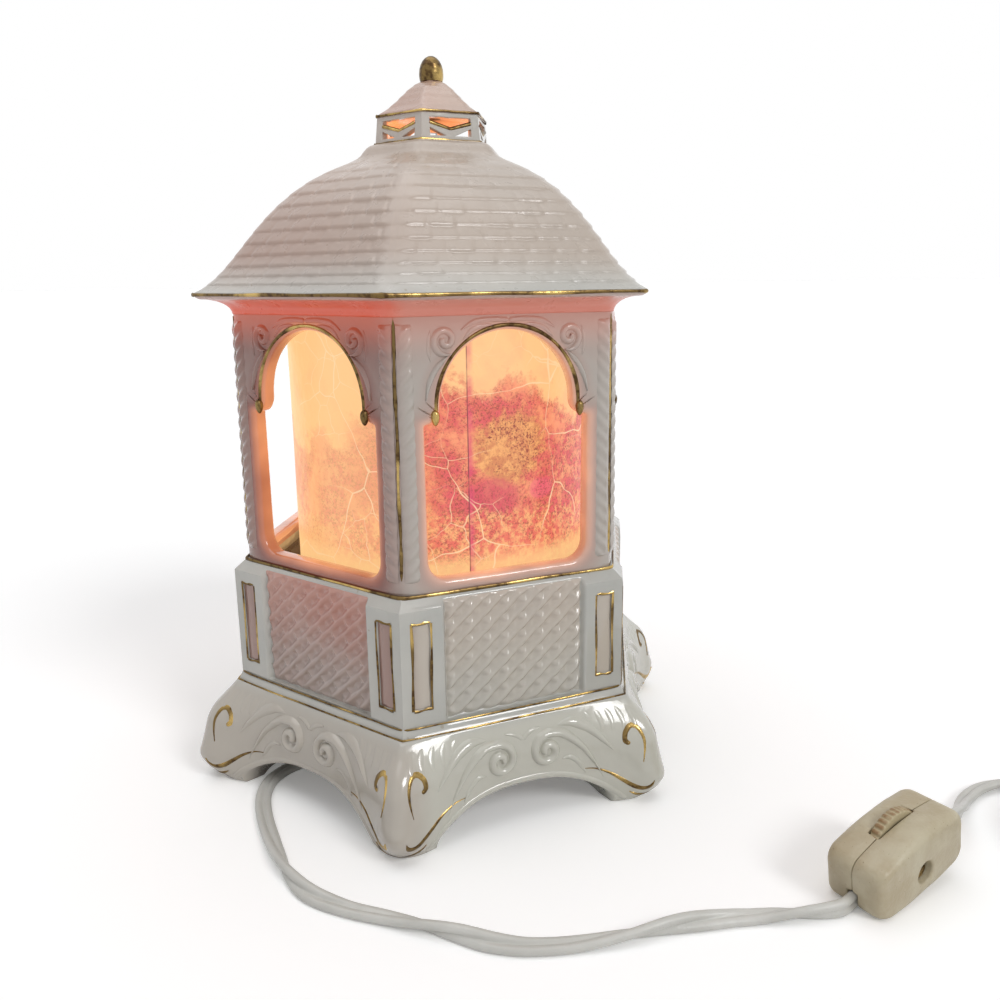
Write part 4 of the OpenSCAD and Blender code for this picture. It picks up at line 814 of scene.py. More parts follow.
roof_clay = porcelain("roof_porcelain", glow=roof_glow, tint=roof_shade_and_blush, gloss=0.3)
shell = roof_shell()
roof = add_mesh("shingled_roof", shell / 1000, loop_net(*shell.shape[:2]), roof_clay)
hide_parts("roof")
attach(roof, "house")
gold_band("eave_line", 83.6, 168.7, 0.75, 4, ease=4.0, tall=0.8)
gold_band("curb_line", 20.9, 216.65, 0.4, 5, ease=1.0)

# ---- Picture drum ----------------------------------------------------------------------------------------
# A film cylinder printed with a hazy garden, lapped and glued at one dark seam. The lamp shines through it
# from within, and the old print has crazed into a few long bright cracks.
drum_r, drum_low, drum_top, film_t = 53.1, 74.0, 170.0, 0.55


def drum_tube(cols=180, rows=40):
    """A thin cylinder that has sprung very slightly out of true, its wall folded over both ends."""
    a = np.linspace(0, 2 * np.pi, cols + 1)[:-1]
    z = np.concatenate([np.linspace(drum_top, drum_low, rows), np.linspace(drum_low, drum_top, rows)])
    r = np.concatenate([np.full(rows, drum_r), np.full(rows, drum_r - film_t)])[:, None]
    up = (z[:, None] - drum_low) / (drum_top - drum_low)
    r = r - 0.12 * (1 + np.sin(3 * a + z[:, None] / 30)) * np.sin(np.pi * up) ** 2
    return np.stack([r * np.cos(a), r * np.sin(a), z[:, None] + 0 * a], -1)


def cracks(w, spot, scale, low, high, fine=0.15):
    """Long cracks: the borders of large cells, bent a little by noise and kept only in some places."""
    bend = w.node("ShaderNodeTexNoise", {"Vector": spot, "Scale": scale * 1.6, "Detail": 2.0}, out=1)
    bend = w.node("ShaderNodeVectorMath", {0: bend, "Scale": 0.30 / scale}, operation="SCALE")
    bent = w.node("ShaderNodeVectorMath", {0: spot, 1: bend}, operation="ADD")
    line = w.node("ShaderNodeTexVoronoi", {"Vector": bent, "Scale": scale}, feature="DISTANCE_TO_EDGE")
    thin = speckle(w, spot, 0.09, 2).ease(0.3, 0.7, 0.5, 1.3)
    drawn = (line / thin).ease(scale * fine * 0.5, scale * fine * 1.6, 1, 0)
    return drawn * speckle(w, spot, 0.021, 1).ease(low, high)


def patch(x, up, at, size, ragged):
    """1 within an oval of the given half sizes, its border torn by a noise."""
    return (((x - at[0]) / size[0]) ** 2 + ((up - at[1]) / size[1]) ** 2 + ragged).ease(0.55, 1.25, 1, 0)


def garden(w):
    """The print, as light: a pale warm sky, crimson trees that crowd up round the seam, an olive bush,
    mottled ground, and a fine dark grain in the shadows. It pales towards the drum's foot and its edge."""
    spot, (x, y, up) = place_on(w)
    front = y.ease(-20, -32)
    drift = speckle(w, spot, 0.030, 3, 0.55)
    clump = speckle(w, spot, 0.085, 7, 0.70)
    leaf = speckle(w, spot, 0.40, 5, 0.72)
    grain = speckle(w, spot, 1.25, 3, 0.8)
    sky = up.ease(118, 160).mix((1.0, 0.58, 0.24), (1.0, 0.60, 0.27))
    sky = (speckle(w, spot, 0.06, 4, 0.6).ease(0.45, 0.7) * 0.45).mix(sky, (0.98, 0.42, 0.22))
    height = up + (x - 2).abs() * 0.30 + (drift - 0.5) * 52 + (clump - 0.5) * 40 + (leaf - 0.5) * 16
    trees = height.ease(139, 148, 1, 0)
    crown = clump.ease(0.34, 0.60).mix((0.95, 0.31, 0.16), (0.66, 0.06, 0.07))
    crown = (leaf.ease(0.42, 0.60) * clump.ease(0.36, 0.58) * 0.8).mix(crown, (0.78, 0.07, 0.12))
    crown = (leaf.ease(0.56, 0.42) * drift.ease(0.44, 0.60) * 0.7).mix(crown, (0.98, 0.40, 0.19))
    scene = (trees * 0.95).mix(sky, crown)
    ragged = (clump - 0.5) * 2.2 + (leaf - 0.5) * 1.2
    bush = patch(x, up, (5, 121), (13, 12), ragged) * front
    scene = (bush * 0.8).mix(scene, leaf.ease(0.38, 0.60).mix((0.93, 0.47, 0.15), (0.62, 0.24, 0.08)))
    scene = (patch(x, up, (-3, 104), (10, 7), ragged * 1.6) * front * 0.6).mix(scene, (0.62, 0.025, 0.11))
    scene = (patch(x, up, (17, 106), (5, 4), ragged) * front * 0.6).mix(scene, (0.85, 0.10, 0.20))
    ground = (up + (drift - 0.5) * 30 + (leaf - 0.5) * 14).ease(95, 101, 1, 0)
    soil = leaf.ease(0.40, 0.58).mix((1.0, 0.50, 0.20), front.mix((0.98, 0.40, 0.15), (0.82, 0.14, 0.10)))
    scene = (ground * 0.8).mix(scene, soil)
    shadow = grain.ease(0.50, 0.60) * clump.ease(0.34, 0.56) * (trees * 0.75).most(ground * 0.45).most(bush)
    scene = shadow.mix(scene, (0.24, 0.03, 0.025))
    scene = (x.ease(-14, -40) * 0.5).mix(scene, (1.0, 0.60, 0.25))
    scene = (up.ease(82, 89, 0.8, 0)).mix(scene, (1.0, 0.62, 0.27))
    vein = cracks(w, spot, 0.034, 0.40, 0.52).most(cracks(w, spot, 0.075, 0.54, 0.62, 0.12) * 0.8)
    scene = (vein * 0.8).mix(scene, (1.0, 0.72, 0.42))
    worn = speckle(w, spot, 0.12, 2).ease(0.35, 0.6) * y.ease(-40, -30, 1, 0)
    lap = (x + 8.9).ease(-0.2, 1.6, 1, 0) * (x + 9.6).ease(-0.1, 0.1) * worn * 0.6
    scene = lap.mix(scene, (0.72, 0.03, 0.16))
    seam = (x + 9.7).abs().ease(0.08, 0.28, 1, 0) * (worn * 0.5 + 0.4) * y.ease(-40, -30, 1, 0)
    return seam.mix(scene, (0.16, 0.01, 0.04))


film = finish_of("printed_film", Roughness=0.4, Base_Color=(0.10, 0.05, 0.03), Emission_Strength=0.93,
                 Emission_Color=garden, bump=lambda w: mottle(w, 0.25, 2), depth=0.0003)
tube = drum_tube()
drum = add_mesh("picture_film", tube / 1000, loop_net(*tube.shape[:2]), film)
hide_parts("drum_film")
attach(drum, "drum")

# ---- Tower walls -----------------------------------------------------------------------------------------
# Six walls with lobed arch windows, cast thick and sponged soft round the openings. Lamplight fills the
# reveals and soaks into the body round them. A gold roll frames each arch down to a small drop on either
# side, scrolls fill the spandrels, and a twisted rope stands beside each corner.
wall_out, wall_in, sill, spring, arch_r, jamb = wall_r * flat, wall_r * flat - 5.5, 83.2, 136.0, 22.0, 27.0
window_z = 118                                # the height of the window's middle
half_guess = 36                               # about half a wall's width


def wall_face(u, z):
    """Distance of a wall's face from the axis: flat, leaning in a little, and eased at the corners."""
    lean = 0.3 - 0.7 * (z - belt_z) / (wall_top - belt_z)
    return wall_out + lean - 1.2 * np.abs(u / ((wall_out + lean) * half_side)) ** 17


def wall_corner(z, u=half_guess):
    """Half a wall's width at a height: where its eased face meets the plane between two sides, found by
    setting the width to the face's distance times the tangent of 30 degrees until it stays the same."""
    for _ in range(30):
        u = wall_face(u, z) * half_side
    return u


def window_line(angles):
    """The window's outline seen from its middle, half of it: sill, round corner, jamb, lobe and round head
    in turn, read at angles from straight down to straight up."""
    a = np.radians(np.linspace(0, 90, 40))
    parts = [np.column_stack([np.linspace(0, jamb - 6, 12), np.full(12, sill)]),
             np.column_stack([jamb - 6 + 6 * np.sin(a), sill + 6 - 6 * np.cos(a)]),
             np.column_stack([np.full(12, jamb), np.linspace(sill + 6, spring - 5, 12)]),
             np.column_stack([jamb - 5 * np.sin(a), spring - 5 * np.cos(a)]),
             np.column_stack([arch_r * np.cos(a), spring + arch_r * np.sin(a)])]
    line = np.vstack(parts) - [0, window_z]
    return np.interp(angles, np.arctan2(line[:, 1], line[:, 0] + 1e-6), np.hypot(*line.T))


def wall_shell(lip=1.7):
    """One wall, from the inner corner round the window and out to the outer corner. Each ring follows the
    window and spreads to the wall's rectangle. Also gives every point's distance from the window's edge."""
    def ring(p, out=None, sunk=0.0):
        """Points seen from the window's middle, on the wall's face less sunk, or at one distance out."""
        z = p[:, 1] + window_z
        face = wall_face(p[:, 0], z) - sunk if out is None else np.full(len(p), out)
        return np.column_stack([face, p[:, 0], z])

    top, low = (math.atan2(z - window_z, wall_corner(z)) for z in (wall_top, belt_z))
    half = np.unique(np.concatenate([np.linspace(-np.pi / 2, np.pi / 2, 97), [top, low],
                                     np.radians(np.linspace(23, 41, 17))]))
    angles = np.concatenate([half, np.pi - half[-2:0:-1]])
    radius = window_line(np.concatenate([half, half[-2:0:-1]]))
    way = np.stack([np.cos(angles), np.sin(angles)], 1)
    edge = way * radius[:, None]
    along = np.roll(edge, -1, 0) - np.roll(edge, 1, 0)
    away = np.stack([along[:, 1], -along[:, 0]], 1)
    away = sum(np.roll(away, k, 0) for k in range(-3, 4))
    away /= np.linalg.norm(away, axis=1, keepdims=True)
    rows, gaps = [], []
    steep = np.where(way[:, 1] == 0, 1e-9, way[:, 1])
    reach = np.where(way[:, 1] > 0, wall_top - window_z, belt_z - window_z) / steep
    slant = np.maximum(np.abs(way[:, 0]), 1e-9)
    across = half_guess / slant
    for _ in range(30):
        far = np.minimum(np.abs(reach), across)
        across = wall_corner(window_z + way[:, 1] * far) / slant
    flat_end = np.abs(reach) <= across + 1e-6
    outer = way * np.minimum(np.abs(reach), across)[:, None]
    in_u = wall_in * half_side
    inner = np.where(flat_end[:, None], np.column_stack([np.clip(outer[:, 0], -in_u, in_u), outer[:, 1]]),
                     way * (in_u / slant)[:, None])
    outward = [1, 0.985, 0.96, 0.92, 0.85, 0.7, 0.5, 0.3, 0.12, 0.02]
    turn = np.linspace(0, np.pi / 2, 7)
    for f in outward:
        p = edge + away * lip
        p = p + f * (outer - p)
        rows.append(ring(p))
        gaps.append(np.linalg.norm(p - edge - away * lip, axis=1))
    for a in turn:
        p = edge + away * lip * (1 - np.sin(a))
        rows.append(ring(p, sunk=lip * (1 - np.cos(a))))
        gaps.append(np.full(len(p), -lip * a))
    for depth in (3.2, 4.6):
        rows.append(ring(edge, wall_out - depth))
        gaps.append(np.full(len(edge), -depth))
    for f in (0.0, 0.35, 1.0):
        p = edge + away * 0.8 + f * (inner - edge - away * 0.8)
        rows.append(ring(p, wall_in))
        gaps.append(np.full(len(p), -6.0 - 4 * f))
    return np.array(rows), np.array(gaps), flat_end


grid, gaps, flat_end = wall_shell()
rows, cols = grid.shape[:2]
faces = net(rows, cols, wrap=True)
closing = np.array([[k, (rows - 1) * cols + k, (rows - 1) * cols + (k + 1) % cols, (k + 1) % cols]
                    for k in np.where(flat_end & np.roll(flat_end, -1))[0]])
faces = np.vstack([faces, closing])
world = six_sides(grid).reshape(rows, 6, cols, 3).transpose(1, 0, 2, 3).reshape(-1, 3)
surface = np.tile(np.column_stack([np.tile(np.arange(cols) / cols, rows), gaps.ravel() / 100]), (6, 1))


def own_map(w):
    """The second value of the piece's own map."""
    split = w.tree.nodes.new("ShaderNodeSeparateXYZ")
    w.tree.links.new(w.node("ShaderNodeUVMap", uv_map="surface").socket, split.inputs[0])
    return Wire(w.tree, split.outputs[1])


def from_window(w):
    """Distance from the window's edge along the surface, in millimetres, below 0 in the reveal."""
    return own_map(w) * 100


def wall_glow(w):
    """Lamplight: strong in the reveals, a rim of coral round the lip, and a blush up under the eave."""
    spot, (x, _, up) = place_on(w)
    edge = from_window(w)
    uneven = speckle(w, spot, 0.05, 2).ease(0.25, 0.75, 0.55, 1)
    rim = edge.ease(-2.6, 3.2, 1, 0) * uneven
    top = up.ease(150.0, 163.0, 0, 1) * x.ease(*shade, 1, 0.55)
    colour = rim.mix((0.27, 0.045, 0.018), (0.86, 0.34, 0.14))
    return (rim * 0.72).most(top).mix((0, 0, 0), colour)


def shaded_lamplit_wall(w, share):
    """The wall's colour, cool at a share of 0 and darker and pink with painted lamplight at 1, lighter where
    it faces the sun and darker where it faces away, painted shade.
    """
    return share.mix(two_sides(w, (0.455, 0.42, 0.375), (0.345, 0.225, 0.19)),
                     two_sides(w, (0.45, 0.33, 0.28), (0.25, 0.075, 0.05)))


def wall_shade_and_blush(w, ivory):
    """Painted light and shade: the body is darker and pinker round the window and up under the eave, where
    the lamp soaks through it, and darker on the sides away from the sun.
    """
    spot, (x, _, up) = place_on(w)
    near = from_window(w).ease(1.0, 9.0, 1, 0.15).most(up.ease(140, 162, 0.1, 1))
    return shaded_lamplit_wall(w, near)


wall_clay = porcelain("wall_porcelain", tint=wall_shade_and_blush, glow=wall_glow)
walls = add_mesh("wall_shell", world / 1000, np.vstack([faces + k * rows * cols for k in range(6)]),
                 wall_clay, uv=surface)
weld = walls.modifiers.new("weld", "WELD")
weld.merge_threshold = 0.00002
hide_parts("tower_walls")
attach(walls, "house")


def relief_shade_and_blush(w, ivory):
    """Painted light and shade: up under the eave the relief is as pink as the wall behind it, and like the
    wall it is darker on the sides away from the sun.
    """
    return shaded_lamplit_wall(w, place_on(w)[1][2].ease(140, 162, 0.1, 1))


def relief_glow(w):
    """The wall's light under the eave, more of it on the darker side."""
    high = place_on(w)[1][2].ease(150, 163)
    return (high * place_on(w)[1][0].ease(*shade, 1, 0.55)).mix((0, 0, 0), (0.27, 0.045, 0.018))


relief_clay = porcelain("relief_porcelain", tint=relief_shade_and_blush, glow=relief_glow)


def rope(low=83.5, high=160.5, rows=230, cols=9):
    """A half-round column whose thickness is a wave that climbs round it, so that it looks twisted."""
    z, q = np.meshgrid(np.linspace(low, high, rows), np.linspace(-1, 1, cols), indexing="ij")
    ends = np.clip(np.minimum(z - low, high - z) / 1.5, 0, 1) ** 0.5
    twist = 0.74 + 0.26 * np.cos(2 * np.pi * (z / 4.4 + 0.5 * q))
    height = (1.3 * np.sqrt(1 - 0.97 * q * q) * twist) * ends
    u = 32.5 + 2.4 * q
    return np.stack([(wall_face(u, z) + wall_face(0, z)) / 2 - 0.3 + height, u, z], -1)[:, ::-1]


strewn("rope_pilasters", [rope()], relief_clay)
spandrel = [
    ridge_on(wall_face, scroll((20.2, 155.6), 4.4, 0.5, 1.45, 250), 1.2 * swell(40, 0.1, 0.1), 1.15),
    ridge_on(wall_face, through([(19.6, 151.0), (23.0, 147.6), (25.4, 143.4), (26.6, 138.4)]),
             1.0 * swell(24, 0.2, 0.4), 0.9),
    ridge_on(wall_face, through([(15.2, 158.4), (11, 160.6), (5, 161.2), (0, 160.9)]),
             0.95 * swell(24, 0.3, 0.02), 0.6),
    ridge_on(wall_face, through([(14.6, 155.6), (11.6, 158.4), (8.4, 159.3), (5.2, 159.6)], 14),
             0.8 * swell(14), 0.45),
    ridge_on(wall_face, through([(24.6, 158.6), (25.4, 154), (24.8, 149.6)], 14), 0.8 * swell(14), 0.45)]
strewn("spandrel_scrolls", spandrel, relief_clay)

angle = np.radians(np.linspace(90, -7, 44))
arch_line = np.column_stack([(arch_r + 1.5) * np.cos(angle), spring + (arch_r + 1.5) * np.sin(angle)])
arch_roll = ridge_on(wall_face, arch_line, 0.62 + 0.10 * np.sin(6 * angle), 0.55, sink=0.12)
strewn("arch_rolls", [arch_roll], gold)


def drops(centre=(23.9, 133.2), r=1.3, rings=11, around=14):
    """A drop on each foot of an arch: a ball drawn out below into a point, half sunk in the wall."""
    a, b = np.meshgrid(np.linspace(0, np.pi, rings), np.linspace(0, 2 * np.pi, around + 1), indexing="ij")
    wide = r * np.sin(a) * (1 + 0.22 * np.cos(a))
    return np.stack([wall_face(centre[0], centre[1]) + 0.15 + wide * np.sin(b),
                     centre[0] + wide * np.cos(b), centre[1] + 1.85 * r * np.cos(a)], -1)


strewn("arch_drops", [drops()[:, ::-1]], gold)


def corner_line(height=(84.5, 161.8), count=50):
    """A painted line down each corner, a little unsteady in width and place."""
    z = np.linspace(*height, count)[:, None]
    t = np.linspace(-np.pi / 2, np.pi / 2, 7)[None]
    half = 0.52 * swell(count, 0.03, 0.03)[:, None] * (1 + 0.16 * np.sin(z * 0.37) + 0.1 * np.sin(z * 0.83))
    x = wall_face(0, z) / flat - 1.20 + 0.34 * np.cos(t)
    y = half * np.sin(t) + 0.10 * np.sin(z * 0.21)
    rows = np.stack([x + 0 * y, y, z + 0 * y], -1)
    spin = np.radians(60 * np.arange(6))[:, None, None]
    world = np.stack([*turned(rows[..., 0], rows[..., 1], spin),
                      np.broadcast_to(rows[..., 2], (6, *rows.shape[:2]))], -1)
    faces = np.concatenate([net(count, 7, first=k * count * 7) for k in range(6)])
    return world.reshape(-1, 3), faces


points, faces = corner_line()
line = add_mesh("corner_lines", points / 1000, faces, gold)
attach(line, "house")

# ---- Cupola and finial -----------------------------------------------------------------------------------
# A lantern of six pierced walls under a small cap of the same porcelain, pink with painted light from below
# and darker on the side away from the sun, painted shade.
# The cap's foot is gilt, gold chevrons zigzag round the wall, and a gilt half egg closes the cap.
cap_curve = np.array([(19.6, 225.9), (12.4, 229.8), (9.8, 234.8), (3.6, 237.4)])


def cap_shell(cols=48):
    """The cap's section: down the ogee with its five shallow courses, round the eave, and in under it."""
    within = np.array([0, 0.3, 0.6, 0.75, 0.88, 0.96])
    t = np.concatenate([(np.arange(5)[:, None] + within).ravel() / 5, [1]])[::-1]
    slope_line = bend(cap_curve, t)
    f = 1 - t * 5 % 1
    slope_line[:, 0] += 0.30 * f * (1 - ease_in((f - 0.7) / 0.3)) * (t < 0.9)
    section = np.vstack([[(1.5, 237.5)], slope_line,
                         [(19.75, 225.5), (19.5, 225.2), (16.8, 225.2), (3.0, 225.6)]])
    half = np.linspace(0, 1, cols // 2 + 1) ** 0.8
    s = np.concatenate([-half[:0:-1], half[:-1]])
    R, z = section[:, :1], section[:, 1:]
    round_off = 0.42 * np.abs(s) ** 7 * np.minimum(R / 12, 1)
    u = s * R / 2 - np.sign(s) * round_off * half_side
    return six_sides(np.stack([R * flat - round_off, u, z + 0 * s], -1))


def cap_glow(w):
    """Light under the cap, and a little of it through the cap and the posts."""
    spot, (x, _, up) = place_on(w)
    under = hex_reach(spot).ease(14.4, 15.6, 1, 0) * up.ease(225.4, 225.8, 1, 0)
    return under.mix(x.ease(-18, 12, 0.06, 0.02).mix((0, 0, 0), (1.0, 0.34, 0.16)), (0.85, 0.28, 0.10))


def cap_shade_and_blush(w, ivory):
    """Painted shade and light: the cap's body, darker and pinker on the side that faces away from the sun."""
    return place_on(w)[1][0].ease(-22, 6).mix((0.38, 0.235, 0.185), (0.44, 0.315, 0.245))


cupola_clay = porcelain("cupola_porcelain", glow=cap_glow, gloss=0.4, tint=cap_shade_and_blush)
shell = cap_shell()
cap = add_mesh("cupola_cap", shell / 1000, loop_net(*shell.shape[:2]), cupola_clay)
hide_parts("cupola_roof")
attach(cap, "house")
gold_band("cap_line", 19.9, 225.5, 0.42, 6, ease=1.2)
bar = np.array([(0.0, 220.0), (7.1, 222.0)])
chevron = ridge_on(plain_out(17.2), np.linspace(*bar, 10), 0.75, 0.7, sink=0.4)
strewn("chevrons", [chevron], gold)
refinish("cupola_walls", porcelain("lantern_porcelain", glow=cap_glow, soften=0.0006))
refinish("finial", gold)

# ---- Switch ----------------------------------------------------------------------------------------------
# A switch on the cord: two tan mouldings with pillowed edges, held together by one brass screw, and between
# them a thin ribbed thumb wheel whose top stands out of a slot. Years of use have browned its ribs.
switch_frame = np.stack([switch_along, [-np.sin(heading), np.cos(heading), 0], switch_up])
screw_z, wheel_y, wheel_z, wheel_r = -1.3, 1.2, 2.2, 11.1


def outline_reach(way, blunt=3.4):
    """How far the switch's outline lies from its screw in a direction: a bent-sided hexagon, whose corners
    are blunted by taking the root of the summed squares of what lies past each side, pulled in."""
    sides = [(math.sin(tip), math.cos(tip)), (1, 0), (math.sin(tip), -math.cos(tip))]
    sides = np.array(sides + [(-x, z) for x, z in sides])
    offset = np.select([sides[:, 1] > 0.5, sides[:, 1] < -0.5],
                       [11.6 * math.cos(tip), 10.7 * math.cos(tip)], 20.2)
    low, high = np.zeros(len(way)), np.full(len(way), 30.0)
    for _ in range(30):
        middle = (low + high) / 2
        spot = way * middle[:, None] + [0, screw_z]
        past = np.maximum(0, spot @ sides.T - offset + blunt)
        outside = np.sqrt((past ** 2).sum(1)) > blunt
        low, high = np.where(outside, low, middle), np.where(outside, middle, high)
    return low


def parting(x, z, back):
    """Where a shell ends, measured from the parting plane: a hair short of it, further off round the cord
    and round the wheel, whose pocket lies mostly in the back shell."""
    pocket = (np.hypot(x, z - wheel_z) < wheel_r + 0.4) & (np.hypot(x, z - screw_z) > 5)
    hole = (np.abs(x) > 13.4) & (np.abs(z + hole_drop) < 2.95)
    return np.maximum(0.07 + 0 * x,
                      np.maximum(np.where(pocket, 3.1 if back else 0.7, 0), np.where(hole, 1.6, 0)))


def switch_half(back, cols=240, round_r=3.2):
    """One moulding as rings round its screw: the screw's recess, the crowned face, the rounded edge, the
    side down to the parting edge, and back in to the screw's hole."""
    a = np.linspace(0, 2 * np.pi, cols + 1)[:-1]
    way = np.column_stack([np.cos(a), np.sin(a)])
    reach = outline_reach(way)
    deep = 6.4 if back else 6.0
    rings = [(np.full(cols, r), np.full(cols, y)) for r, y in (
        (1.6, deep), (3.1, deep), (3.35, deep + 0.25), (3.4, 8.8), (3.55, 9.3), (3.9, 9.55), (4.5, 9.6))]
    for f in (0.3, 0.6, 0.85):
        rings.append((4.5 + f * (reach - round_r - 4.5), np.full(cols, 9.6 - 0.35 * f ** 2)))
    for turn in np.linspace(0, np.pi / 2, 8):
        rings.append((reach - round_r * (1 - np.sin(turn)),
                      np.full(cols, 9.25 - round_r * (1 - np.cos(turn)))))
    end = parting(*(way * (reach - 0.1)[:, None] + [0, screw_z]).T, back)
    rings.append((reach, np.maximum(end + 0.35, 0.5 * (end + 6.05))))
    rings.append((reach, end + 0.35))
    rings.append((reach - 0.12, end + 0.1))
    rings.append((reach - 0.45, end))
    for f in (0.93, 0.86, 0.72, 0.6, 0.45, 0.3):
        r = (reach - 0.45) * f
        rings.append((r, parting(*(way * r[:, None] + [0, screw_z]).T, back)))
    rings.append((np.full(cols, 1.6), np.full(cols, 0.07)))
    side = 1 if back else -1
    return np.array([np.column_stack([way[:, 0] * r, side * y, way[:, 1] * r + screw_z]) for r, y in rings])


def as_switch(local):
    """Points of the switch's own frame, set on its tipped axes about its middle, in metres."""
    return (local @ switch_frame + switch_at) / 1000


def tan_tint(w):
    """Tan plastic with a little handling grime, browner in clouds, and a few dark flecks."""
    spot, _ = place_on(w)
    cloud = speckle(w, spot, 0.09, 4, 0.6).ease(0.32, 0.7)
    flecks = speckle(w, spot, 1.3, 2).ease(0.70, 0.76) * 0.5
    return flecks.mix(cloud.mix((0.43, 0.36, 0.235), (0.52, 0.465, 0.33)), (0.20, 0.13, 0.07))


tan = finish_of("tan_plastic", Base_Color=tan_tint, Specular_IOR_Level=0.45,
                Roughness=lambda w: mottle(w, 0.4, 3).ease(0.3, 0.7, 0.30, 0.46),
                bump=lambda w: mottle(w, 1.1, 3), depth=0.00015)
for name, back in (("switch_front_shell", False), ("switch_back_shell", True)):
    half = switch_half(back)
    faces = loop_net(*half.shape[:2])[:, ::-1 if back else 1]
    piece = add_mesh(name.replace("shell", "moulding"), as_switch(half), faces, tan)
    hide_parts(name)
    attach(piece, "house")


def thumb_wheel(ribs=36, steps=6):
    """The wheel's section carried round: a rim waved by the ribs, rounded to its sides, and a plain bore."""
    a = np.linspace(0, 2 * np.pi, ribs * steps + 1)[:-1]
    wave = 0.45 * (0.5 - 0.5 * np.cos(ribs * a)) ** 2
    section = [(0, 0.0), (0, 1.0), (-0.2, 1.38), (-0.75, 1.5), (-2.2, 1.5), (None, 1.5), (None, -1.5),
               (-2.2, -1.5), (-0.75, -1.5), (-0.2, -1.38), (0, -1.0)]
    rows = []
    for inset, y in section:
        r = np.full(len(a), 6.25) if inset is None else wheel_r + inset - wave * (1 if inset > -1 else 0)
        rows.append(np.column_stack([r * np.cos(a), np.full(len(a), wheel_y + y), wheel_z + r * np.sin(a)]))
    return np.array(rows)


wheel_ring = thumb_wheel()
# The wheel's own map is 1 at its rim and 0 on its axis.
out_share = np.hypot(wheel_ring[..., 0], wheel_ring[..., 2] - wheel_z) / wheel_r
worn = finish_of("worn_wheel", Specular_IOR_Level=0.4, Roughness=0.5, Base_Color=lambda w: (
    own_map(w).ease(0.955, 0.998) * mottle(w, 0.5, 3).ease(0.3, 0.6, 0.35, 1)).mix(
        (0.47, 0.40, 0.25), (0.27, 0.165, 0.075)))
wheel = add_mesh("ribbed_wheel", as_switch(wheel_ring), loop_net(*wheel_ring.shape[:2]), worn,
                 uv=np.column_stack([np.zeros(out_share.size), out_share.ravel()]))
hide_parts("switch_wheel")
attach(wheel, "thumb_wheel")


def metal(name, bright, dull, rough=0.3, cover=0.5):
    """Metal with dull patches of handling and age over some share of it."""
    def aged(w):
        """Patches of a noise, eased at a level that falls as more of the metal is covered."""
        spot, _ = place_on(w)
        return speckle(w, spot, 0.25, 4, 0.6).ease(0.62 - 0.4 * cover, 0.80 - 0.4 * cover)
    return finish_of(name, Metallic=1.0, Base_Color=lambda w: aged(w).mix(bright, dull), soften=0.0003,
                     Roughness=lambda w: aged(w).ease(0, 1, rough, rough + 0.25),
                     bump=lambda w: mottle(w, 1.2, 2), depth=0.00004)


dull_brass = metal("dull_brass", (0.46, 0.33, 0.13), (0.16, 0.105, 0.045), cover=0.7)
brass = metal("brass", (0.72, 0.55, 0.24), (0.40, 0.27, 0.10))
for node in ("switch_screw", "switch_nut"):
    refinish(node, dull_brass)
refinish("switch_contacts", brass)

# ---- Plug and coil tie -----------------------------------------------------------------------------------
# The vinyl plug is moulded onto the cord's end: a flat body that swells from a ribbed neck, with two brass
# blades pressed from strip. A brown paper tie holds the spare cord in its coil.
plug_back = np.array([*(wound[-1, :2] + tail_long * leaving[:2]), plug_z])
plug_way = math.atan2(leaving[1], leaving[0])


def plug_loft(rows=46, cols=72):
    """Rounded oblongs along the plug, a power of cosine and sine, from the neck to the face. The neck has
    three sunk rings and the grip four shallow ribs across each flat. Both ends run in to a point."""
    x = np.concatenate([[0, 0], np.linspace(0.15, 23.6, rows - 6), [23.9, 24, 24, 24]])
    wide = np.interp(x, [0, 5, 11, 16, 24], [4.0, 4.7, 9.9, 10.5, 10.5])
    thick = np.interp(x, [0, 5, 11, 16, 24], [4.6, 4.9, 6.1, 6.5, 6.5])
    ends = np.interp(x, [0, 0.6, 23.2, 23.8, 24], [0.93, 1, 1, 0.96, 0.93])
    ends[[0, -1]], ends[-2] = 0, 0.6
    a = np.linspace(0, 2 * np.pi, cols + 1)[:-1]
    power = np.interp(x, [0, 6, 12], [0.85, 0.7, 0.45])[:, None]
    across = np.sign(np.cos(a)) * np.abs(np.cos(a)) ** power
    above = np.sign(np.sin(a)) * np.abs(np.sin(a)) ** power
    rings = 1 - 0.07 * (np.abs(x - 3.2) < 2.6) * (0.5 - 0.5 * np.cos(2 * np.pi * (x - 0.6) / 1.73))
    grip = 0.35 * ((x > 12) & (x < 21)) * (0.5 - 0.5 * np.cos(2 * np.pi * (x - 12) / 2.25))
    y = wide[:, None] * ends[:, None] * rings[:, None] * across
    z = (thick[:, None] * rings[:, None] - grip[:, None] * (np.abs(across) < 0.62)) * ends[:, None] * above
    x, y = turned(x[:, None] + 0 * a, y, plug_way)
    return np.stack([x, y, z], -1) + plug_back


moulded = finish_of("moulded_vinyl", Roughness=0.4, Specular_IOR_Level=0.45, depth=0.0001,
                    Base_Color=lambda w: mottle(w, 0.08, 3).ease(0.35, 0.75).mix(
                        (0.46, 0.455, 0.415), (0.55, 0.545, 0.505)),
                    bump=lambda w: mottle(w, 0.9, 3))
body = plug_loft()
plug = add_mesh("plug_moulding", body / 1000, net(*body.shape[:2], wrap=True), moulded)
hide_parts("plug_body")
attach(plug, "house")
refinish("plug_blades", brass)
refinish("coil_tie", finish_of("brown_paper", Roughness=0.85, soften=0.0002, depth=0.0002,
                               Base_Color=lambda w: mottle(w, 0.7, 4, 0.7).mix(
                                   (0.075, 0.05, 0.035), (0.16, 0.11, 0.075)),
                               bump=lambda w: mottle(w, 0.8, 4)))

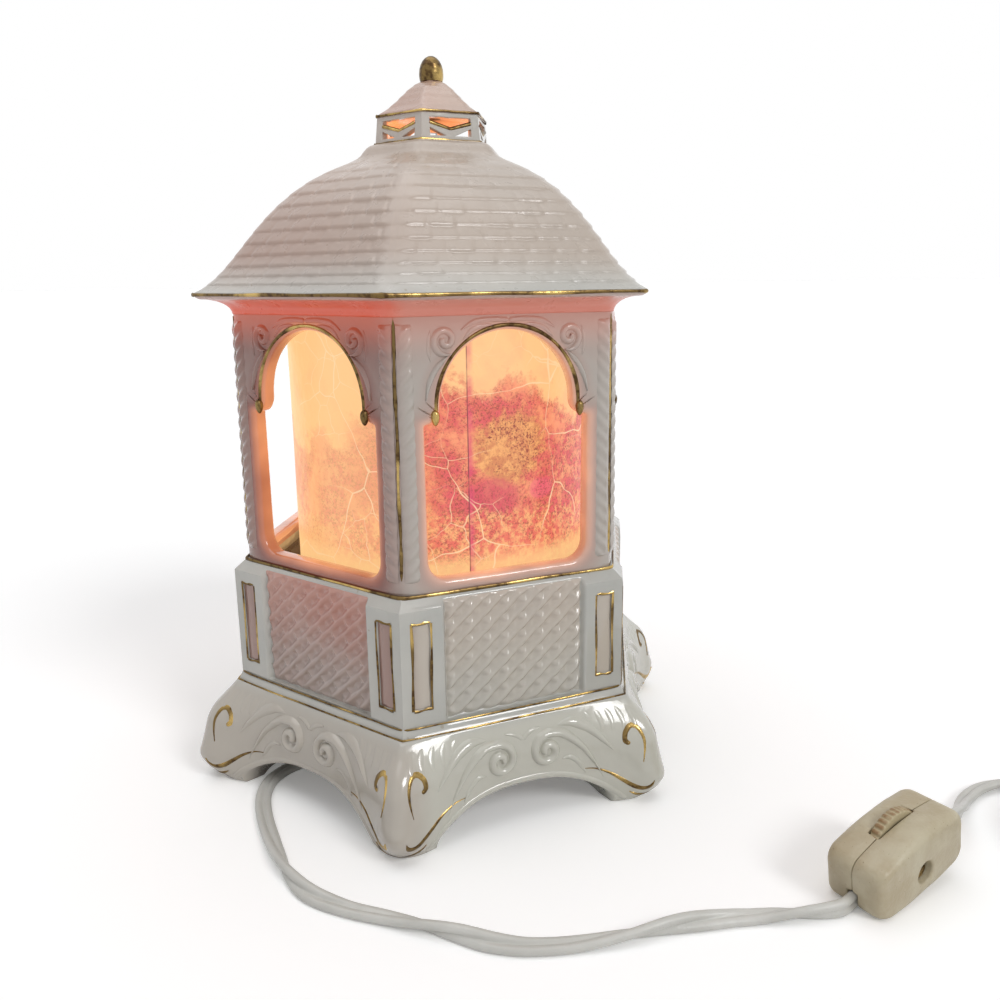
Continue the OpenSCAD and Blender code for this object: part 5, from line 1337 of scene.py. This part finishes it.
# ---- Lamp, hoops and bottom plate ------------------------------------------------------------------------
# Inside the house: a black bakelite lampholder on a steel nipple, a clear lamp with its filament glowing,
# and a wire bail with a needle. The drum hangs on the needle by a tin fan, between two hoops.
steel = metal("steel", (0.62, 0.63, 0.65), (0.36, 0.36, 0.37))
rubbed_steel = metal("plate_steel", (0.52, 0.53, 0.54), (0.27, 0.26, 0.25), rough=0.38, cover=0.7)
bakelite = finish_of("bakelite", Roughness=0.33, soften=0.0005, depth=0.00008,
                     Base_Color=lambda w: mottle(w, 0.3, 4, 0.7).ease(0.4, 0.7).mix(
                         (0.018, 0.014, 0.012), (0.055, 0.035, 0.022)),
                     bump=lambda w: mottle(w, 0.7, 2))


def filament_glow(w):
    """White hot in the wire and dark below it, where its supports pass into the glass."""
    return place_on(w)[1][2].ease(104, 112).mix((0.05, 0.02, 0.01), (1.0, 0.72, 0.38))


for node in ("plate_screws", "plate_nuts", "nipple_nuts", "lamp_nipple", "pivot_bail", "pivot_needle",
             "upper_hoop", "lower_hoop"):
    refinish(node, steel)
refinish("bottom_plate", rubbed_steel)
refinish("fan_cap", metal("tinplate", (0.70, 0.70, 0.69), (0.45, 0.43, 0.40), rough=0.24, cover=0.35))
for node in ("screw_shell", "centre_contact", "bearing_cup"):
    refinish(node, brass)
refinish("bulb_cap", metal("lamp_cap", (0.66, 0.62, 0.52), (0.42, 0.38, 0.30)))
refinish("socket_body", bakelite)
rubber = finish_of("bushing_rubber", Base_Color=(0.03, 0.03, 0.03), soften=0.0004, depth=0.0001,
                   Roughness=lambda w: mottle(w, 0.6, 2).ease(0.3, 0.7, 0.5, 0.7),
                   bump=lambda w: mottle(w, 1.2, 2))
refinish("cord_bushing", rubber)
refinish("inner_leads", white_vinyl)
refinish("bulb_glass", finish_of("lamp_glass", Base_Color=(1.0, 0.97, 0.92), Roughness=0.02,
                                 Transmission_Weight=1.0, IOR=1.45, depth=0.00005,
                                 bump=lambda w: mottle(w, 0.08, 1)))
refinish("filament_mount", finish_of("filament", Metallic=1.0, Base_Color=(0.4, 0.4, 0.42), Roughness=0.35,
                                     Emission_Color=filament_glow, Emission_Strength=2.0))
